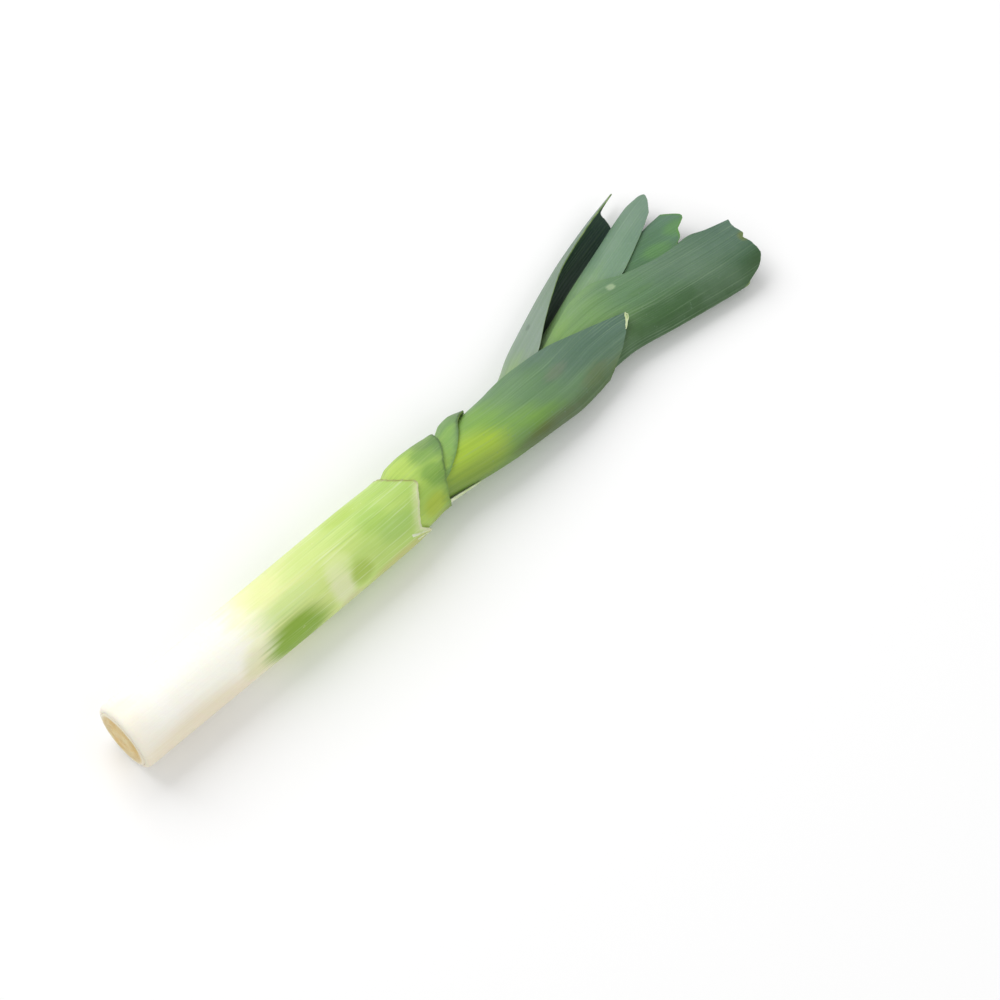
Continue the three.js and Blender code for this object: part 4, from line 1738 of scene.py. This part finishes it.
def leaves() -> list[Leaf]:
    """The six leaves, from the outermost to the innermost."""
    inside = BladeFinish(
        "leaf inside", SHADED_LEAF_INSIDE, (92, 122, 76), (84, 112, 84), (44, 70, 40), vein_share=0.35,
        bloom_share=0.15, streak_share=0.3, rough=0.42, relief=0.35, seed=31.0,
    )
    front = Leaf(
        "leaf_front",
        "leaf_bright",
        Keel.RIGHT,
        Hull(
            curve(
                (168, 15.0), (190, 15.1), (216, 16.3), (237, 18.1), (250, 19.4), (257, 21.0),
                (263, 23.5), (274, 30.0), (288, 36.1), (302, 41.8), (318, 48.3), (340, 55.5),
            ),
            curve(
                (168, -14.1), (186, -12.7), (199, -11.4), (208, -12.3), (217, -13.7), (232, -15.6),
                (246, -16.6), (280, -17.3), (298, -15.3), (306, -14.0), (323, -13.4), (340, -15.2),
            ),
            curve((168, 14.6), (186, 13.8), (216, 13.1), (255, 12.4), (300, 11.4), (340, 11.0)),
        ),
        Arm(
            250,
            curve((250, 19.2), (257, 19.0), (272, 17.7), (286, 16.8), (311, 11.4), (336, 4.6)),
            curve((0, 305.5), (0.32, 319.9), (0.63, 328.5), (1, 334.7)),
        ),
        Arm(
            252,
            curve((252, 19.3), (265, 16), (300, 9), (334, 2)),
            curve((0, 305.5), (0.4, 313), (1, 320)),
        ),
        295,
        BladeFinish(
            "front leaf",
            (
                (196, (158, 190, 78)), (236, (146, 184, 70)), (262, (126, 168, 74)),
                (288, (104, 140, 92)), (318, (88, 118, 96)), (360, (82, 112, 96)),
            ),
            (134, 162, 126), (114, 138, 122), (78, 106, 42), keel_share=0.6, keel_width=13,
            vein_share=0.42, streak_share=0.45, tilt=0.85, seed=12.0,
            patches=(
                Patch(13, 221, 15, 24, (170, 198, 54), 0.85, 0.5),
                Patch(6, 262, 8, 26, (112, 156, 60), 0.6, 0.9),
                # Painted shade: dark olive and brown along the keel, the side that rounds away from the light
                Patch(0, 282, 9, 42, (60, 74, 32), 0.85, 0.5),
                Patch(3, 262, 6, 26, (100, 86, 50), 0.6, 1.0),
                Patch(9, 300, 5, 12, (116, 116, 66), 0.4, 1.5),
                Patch(24, 284, 4, 9, (128, 132, 108), 0.4, 1.5),
                Patch(4, 316, 5, 10, (104, 118, 56), 0.5, 1.0),
            ),
        ),
        inside,
        PALE_CUT,
        seed=2.3,
    )
    left = Leaf(
        "leaf_left",
        "leaf_grey",
        Keel.LEFT,
        Hull(
            curve(
                (168, 13.8), (190, 13.9), (216, 15.1), (237, 16.8), (250, 17.9), (257, 19.3),
                (263, 21.8), (274.4, 28.2), (288.3, 34.3), (302.2, 40.1), (318.5, 46.6), (334.6, 52.4),
                (357.4, 58.4), (384, 64.4),
            ),
            curve(
                (168, -12.9), (186, -11.5), (199, -10.2), (208, -11.1), (217, -12.5), (232, -14.3),
                (246, -15.3), (280, -15.9), (298, -13.9), (306, -12.6), (323, -12.0), (352, -16.0),
                (384, -20.5),
            ),
            curve(
                (168, 13.4), (186, 12.6), (216, 11.9), (255, 11.1), (300, 9.9), (345, 9.5), (384, 9.2),
            ),
        ),
        Arm(
            236,
            curve(
                (236, -13.8), (246, -12), (256, -5), (272, 9), (287.7, 18.3), (301.4, 28.6),
                (314, 37.1), (332.7, 48.2), (360, 57.6), (384, 64.0),
            ),
            curve((0, 382.7), (0.5, 381), (1, 378)),
        ),
        Arm(
            248,
            curve((248, -15.2), (257, -13), (269, -4), (292, 8), (345, 22), (384, 34)),
            curve((0, 382.7), (0.08, 371), (0.2, 371.5), (0.4, 371), (0.7, 366), (1, 360)),
        ),
        345,
        BladeFinish(
            "left leaf",
            ((206, (158, 188, 100)), (262, (146, 174, 118)), (288, (134, 154, 134)), (382, (108, 126, 116))),
            (156, 172, 156), (144, 158, 152), (104, 126, 98), keel_share=0.2, vein_share=0.25,
            seed=15.0, patches=(Patch(7, 294, 1.6, 2.4, (80, 100, 84), 0.6, 0.8),),
        ),
        inside,
        PALE_CUT,
        seed=5.1,
    )
    long = Leaf(
        "leaf_long",
        "leaf_blue",
        Keel.RIGHT,
        Hull(
            curve(
                (168, 12.6), (190, 12.7), (216, 13.9), (237, 15.4), (250, 16.5), (257, 17.9),
                (270, 20.6), (285, 24.0), (304, 29.6), (330, 38.5), (355, 46.7), (384, 54.6),
                (414, 60.5),
            ),
            curve(
                (168, -11.7), (186, -10.3), (199, -9.0), (208, -9.9), (217, -11.2), (232, -12.9),
                (246, -13.7), (280, -14.3), (298, -12.2), (306, -11.0), (322.8, -10.2), (352.6, -14.4),
                (379.4, -18.6), (394, -20.7), (414, -22.6),
            ),
            curve(
                (168, 12.2), (186, 11.4), (216, 10.7), (255, 9.8), (300, 8.5), (345, 8.1), (414, 7.6),
            ),
        ),
        Arm(
            252,
            curve(
                (252, 16.4), (266, 16.0), (288, 18.3), (306, 24.8), (322, 29.6), (332, 29.8),
                (341, 26.4), (349.7, 22.5), (379, 16.9), (388.9, 17.1), (399.5, 13.6), (414, 9.7),
            ),
            curve(
                (0, 394), (0.08, 401), (0.15, 406.5), (0.31, 411.3), (0.5, 411.6), (0.62, 410.4),
                (0.7, 412.6), (0.86, 411.6), (1, 412.9),
            ),
        ),
        Arm(
            248,
            curve((248, 15.8), (264, 12.5), (300, 8), (350, 5), (414, -2)),
            curve((0, 394), (0.12, 399), (0.5, 404), (1, 401)),
        ),
        376,
        BladeFinish(
            "long leaf",
            (
                (230, (128, 166, 84)), (292, (130, 168, 84)), (322, (118, 156, 92)),
                (348, (98, 134, 94)), (376, (92, 122, 96)), (412, (80, 110, 92)),
            ),
            (132, 158, 124), (116, 140, 118), (48, 86, 36), keel_share=0.95, keel_width=24,
            vein_share=0.42, streak_share=0.5, seed=18.0,
            patches=(
                # Painted shade: dark patches on the keel side, which rounds away from the light
                Patch(5, 408, 9, 11, (44, 66, 46), 0.75, 0.8),
                Patch(10, 352, 12, 34, (52, 90, 40), 0.55, 0.9),
                Patch(23, 411, 4, 3.5, (112, 122, 44), 0.7, 0.6),
                Patch(36.5, 340, 1.8, 2.6, (180, 200, 158), 0.6, 1.0),
                Patch(27, 350, 2.2, 9.0, (84, 124, 66), 0.35, 1.6),
            ),
        ),
        inside,
        PALE_CUT,
        seed=8.4,
    )
    rounded = Leaf(
        "leaf_round",
        "leaf_grey",
        Keel.LEFT,
        Hull(
            curve(
                (168, 11.4), (190, 11.5), (216, 12.7), (237, 13.8), (250, 14.9), (257, 16.2),
                (270, 18.9), (285, 22.3), (304, 28.0), (330, 36.9), (355.5, 45.1), (383.6, 53.0),
                (396, 55.4),
            ),
            curve(
                (168, -10.5), (186, -9.1), (199, -7.8), (208, -8.7), (217, -10.0), (232, -11.6),
                (246, -12.3), (280, -12.9), (298, -10.8), (306, -9.6), (323, -8.9), (352, -12.8),
                (379, -17.0), (396, -19.2),
            ),
            curve((168, 11.0), (186, 10.2), (216, 9.5), (255, 8.5), (300, 7.1), (345, 6.7), (396, 6.3)),
        ),
        Arm(
            232,
            curve(
                (232, -11.2), (244, -10.4), (262, -4), (304, 9), (350, 23.2), (368.6, 31.8),
                (379, 36.9), (386.8, 41.2), (396, 46.2),
            ),
            curve(
                (0, 380), (0.1, 383.2), (0.16, 385.5), (0.27, 390), (0.49, 392.5), (0.7, 391.4),
                (0.85, 389.2), (1, 386.2),
            ),
        ),
        Arm(
            246,
            curve((246, -12.2), (256, -10.5), (270, -2), (304, 14), (396, 45)),
            curve((0, 380), (0.4, 385), (1, 378)),
        ),
        370,
        BladeFinish(
            "round leaf",
            (
                (206, (150, 182, 96)), (290, (132, 170, 88)), (326, (122, 158, 104)),
                (350, (114, 146, 118)), (393, (108, 138, 118)),
            ),
            (150, 172, 146), (138, 158, 142), (92, 124, 96), keel_share=0.3, vein_share=0.25,
            seed=21.0,
        ),
        inside,
        PALE_CUT,
        seed=9.6,
        end_rag=0.25,
    )
    dark = Leaf(
        "leaf_dark",
        "leaf_dark",
        Keel.RIGHT,
        Hull(
            curve(
                (168, 10.2), (190, 10.3), (216, 11.4), (237, 12.4), (250, 13.4), (257, 14.7),
                (270, 17.2), (285, 20.4), (304, 25.6), (330, 33.6), (364, 41.0), (400, 45.5),
            ),
            curve(
                (168, -9.3), (186, -7.9), (199, -6.6), (208, -7.5), (217, -8.8), (232, -10.3),
                (246, -11.0), (280, -11.5), (298, -9.4), (306, -8.3), (323, -7.7), (352, -11.3),
                (379, -15.4), (400, -18.2),
            ),
            curve((168, 9.8), (186, 9.0), (216, 8.3), (255, 7.2), (300, 5.7), (345, 5.3), (400, 5.0)),
        ),
        Arm(
            252,
            curve((252, 13.5), (272, 16), (304, 22), (350, 30.5), (383, 36.3), (400, 36.6)),
            curve(
                (0, 384), (0.5, 384), (0.6, 380.5), (0.663, 383.8), (0.716, 389.2), (0.79, 391.4),
                (0.835, 397.1), (0.86, 398.3), (1, 390),
            ),
        ),
        Arm(
            252,
            curve((252, 13.0), (272, 13), (400, 22)),
            curve((0, 384), (0.5, 390), (1, 380)),
        ),
        362,
        BladeFinish(
            "dark leaf",
            ((230, (110, 140, 80)), (330, (82, 120, 76)), (368, (80, 118, 84)), (397, (92, 128, 102))),
            (110, 144, 100), (100, 130, 108), (72, 132, 50), keel_share=0.75, keel_width=42, vein_share=0.25,
            seed=24.0, end_colour=(96, 150, 46), end_share=0.5, end_width=2.0,
            patches=(
                Patch(45, 391, 5, 9, (98, 150, 70), 0.5, 0.7),
                Patch(39, 374, 5, 10, (100, 150, 76), 0.5, 0.8),
                # Painted shadow: a long dark band on the upper arm, next to the round leaf's margin
                Patch(56, 366, 5, 24, (40, 70, 52), 0.8, 0.5),
            ),
        ),
        inside,
        PALE_CUT,
        seed=11.2,
    )
    inner = Leaf(
        "leaf_inner",
        "leaf_bright",
        Keel.LEFT,
        Hull(
            curve(
                (168, 9.0), (190, 9.1), (216, 10.1), (237, 11.0), (250, 12.0), (257, 13.1), (270, 15.2),
                (304, 22.0), (345, 30.0), (392, 36.0),
            ),
            curve(
                (168, -8.1), (186, -6.7), (199, -5.4), (208, -6.3), (217, -7.5), (232, -8.9),
                (246, -9.6), (280, -10.0), (298, -7.9), (306, -6.8), (323, -6.2), (352, -9.6),
                (392, -14.6),
            ),
            curve((168, 8.6), (186, 7.8), (216, 7.0), (255, 5.8), (300, 4.3), (345, 3.9), (392, 3.6)),
        ),
        Arm(
            256,
            curve((256, -9.4), (290, -6), (345, 4), (392, 8)),
            curve((0, 382), (0.4, 386.5), (0.75, 385), (1, 378)),
        ),
        Arm(
            256,
            curve((256, -9.4), (290, -4), (392, 6)),
            curve((0, 382), (0.5, 385), (1, 375)),
        ),
        362,
        BladeFinish(
            "inner leaf",
            ((230, (158, 186, 84)), (330, (108, 158, 58)), (392, (84, 142, 40))),
            (130, 176, 84), (120, 160, 80), (90, 140, 50), keel_share=0.2, vein_share=0.25,
            seed=27.0,
        ),
        inside,
        PALE_CUT,
        seed=13.4,
    )
    return [front, left, long, rounded, dark, inner]


def shaft() -> Shaft:
    """The shaft with its trimmed rim."""
    hull = Hull(
        curve((0, 18.5), (94, 19.0), (150, 19.4), (180, 18.9), (200, 18.8)),
        curve((0, -18.5), (102, -18.6), (150, -18.3), (171, -17.9), (186, -16.6), (200, -15.6)),
        curve((0, 18.5), (94, 18.8), (150, 18.9), (170, 18.5), (186, 17.7), (200, 17.2)),
    )
    rim = curve(
        (0, 177.2), (20, 177), (60, 179.5), (83, 185.5), (96, 188.6), (111, 185.5), (138, 179.5),
        (157, 177.3), (170, 179.8), (194, 183.5), (230, 184.5), (275, 182), (320, 178.5), (360, 177.2),
    )
    return Shaft(ShaftFinish(), hull, rim)


def shreds(shaft_hull: Hull, front: Leaf) -> list[TornTongue | TornEdge]:
    """The torn shreds.

    Args:
        shaft_hull: how far the shaft reaches.
        front: the front leaf.

    Returns:
        Three on the rims and one on the front leaf's cut end.
    """
    dry = CutFinish("dry shred", (222, 230, 200), (186, 204, 140))
    return [
        TornTongue(
            "second_sheath_shred", "sheath", front.hull, dry, angle=185, start=195.5, length=23.0,
            width=5.5, lift=1.6, curl=-1.0, lean=0.6, seed=1.3,
        ),
        TornTongue(
            "shaft_shred", "shaft", shaft_hull, dry, angle=160, start=170.5, length=9.5,
            width=2.4, lift=0.12, curl=0.5, lean=5.0, seed=4.1,
        ),
        TornTongue(
            "shaft_small_shred", "shaft", shaft_hull, dry, angle=178, start=173.0, length=7.0,
            width=1.6, lift=0.12, curl=0.7, lean=1.5, seed=2.2,
        ),
        TornEdge("front_leaf_shred", front, dry, share_from=0.99, share_to=0.64, width=4.0),
    ]


def main() -> None:
    """Builds every piece and the studio."""
    logging.basicConfig(level=logging.INFO, format="%(name)s: %(message)s")
    effects = Effects()
    stem = shaft()
    fan = leaves()
    for piece in (RootPlate(RootFinish()), stem, *sheaths(), *fan, *shreds(stem.hull, fan[0])):
        piece.build(effects)
    Studio().build()


if __name__ == "__main__":
    main()
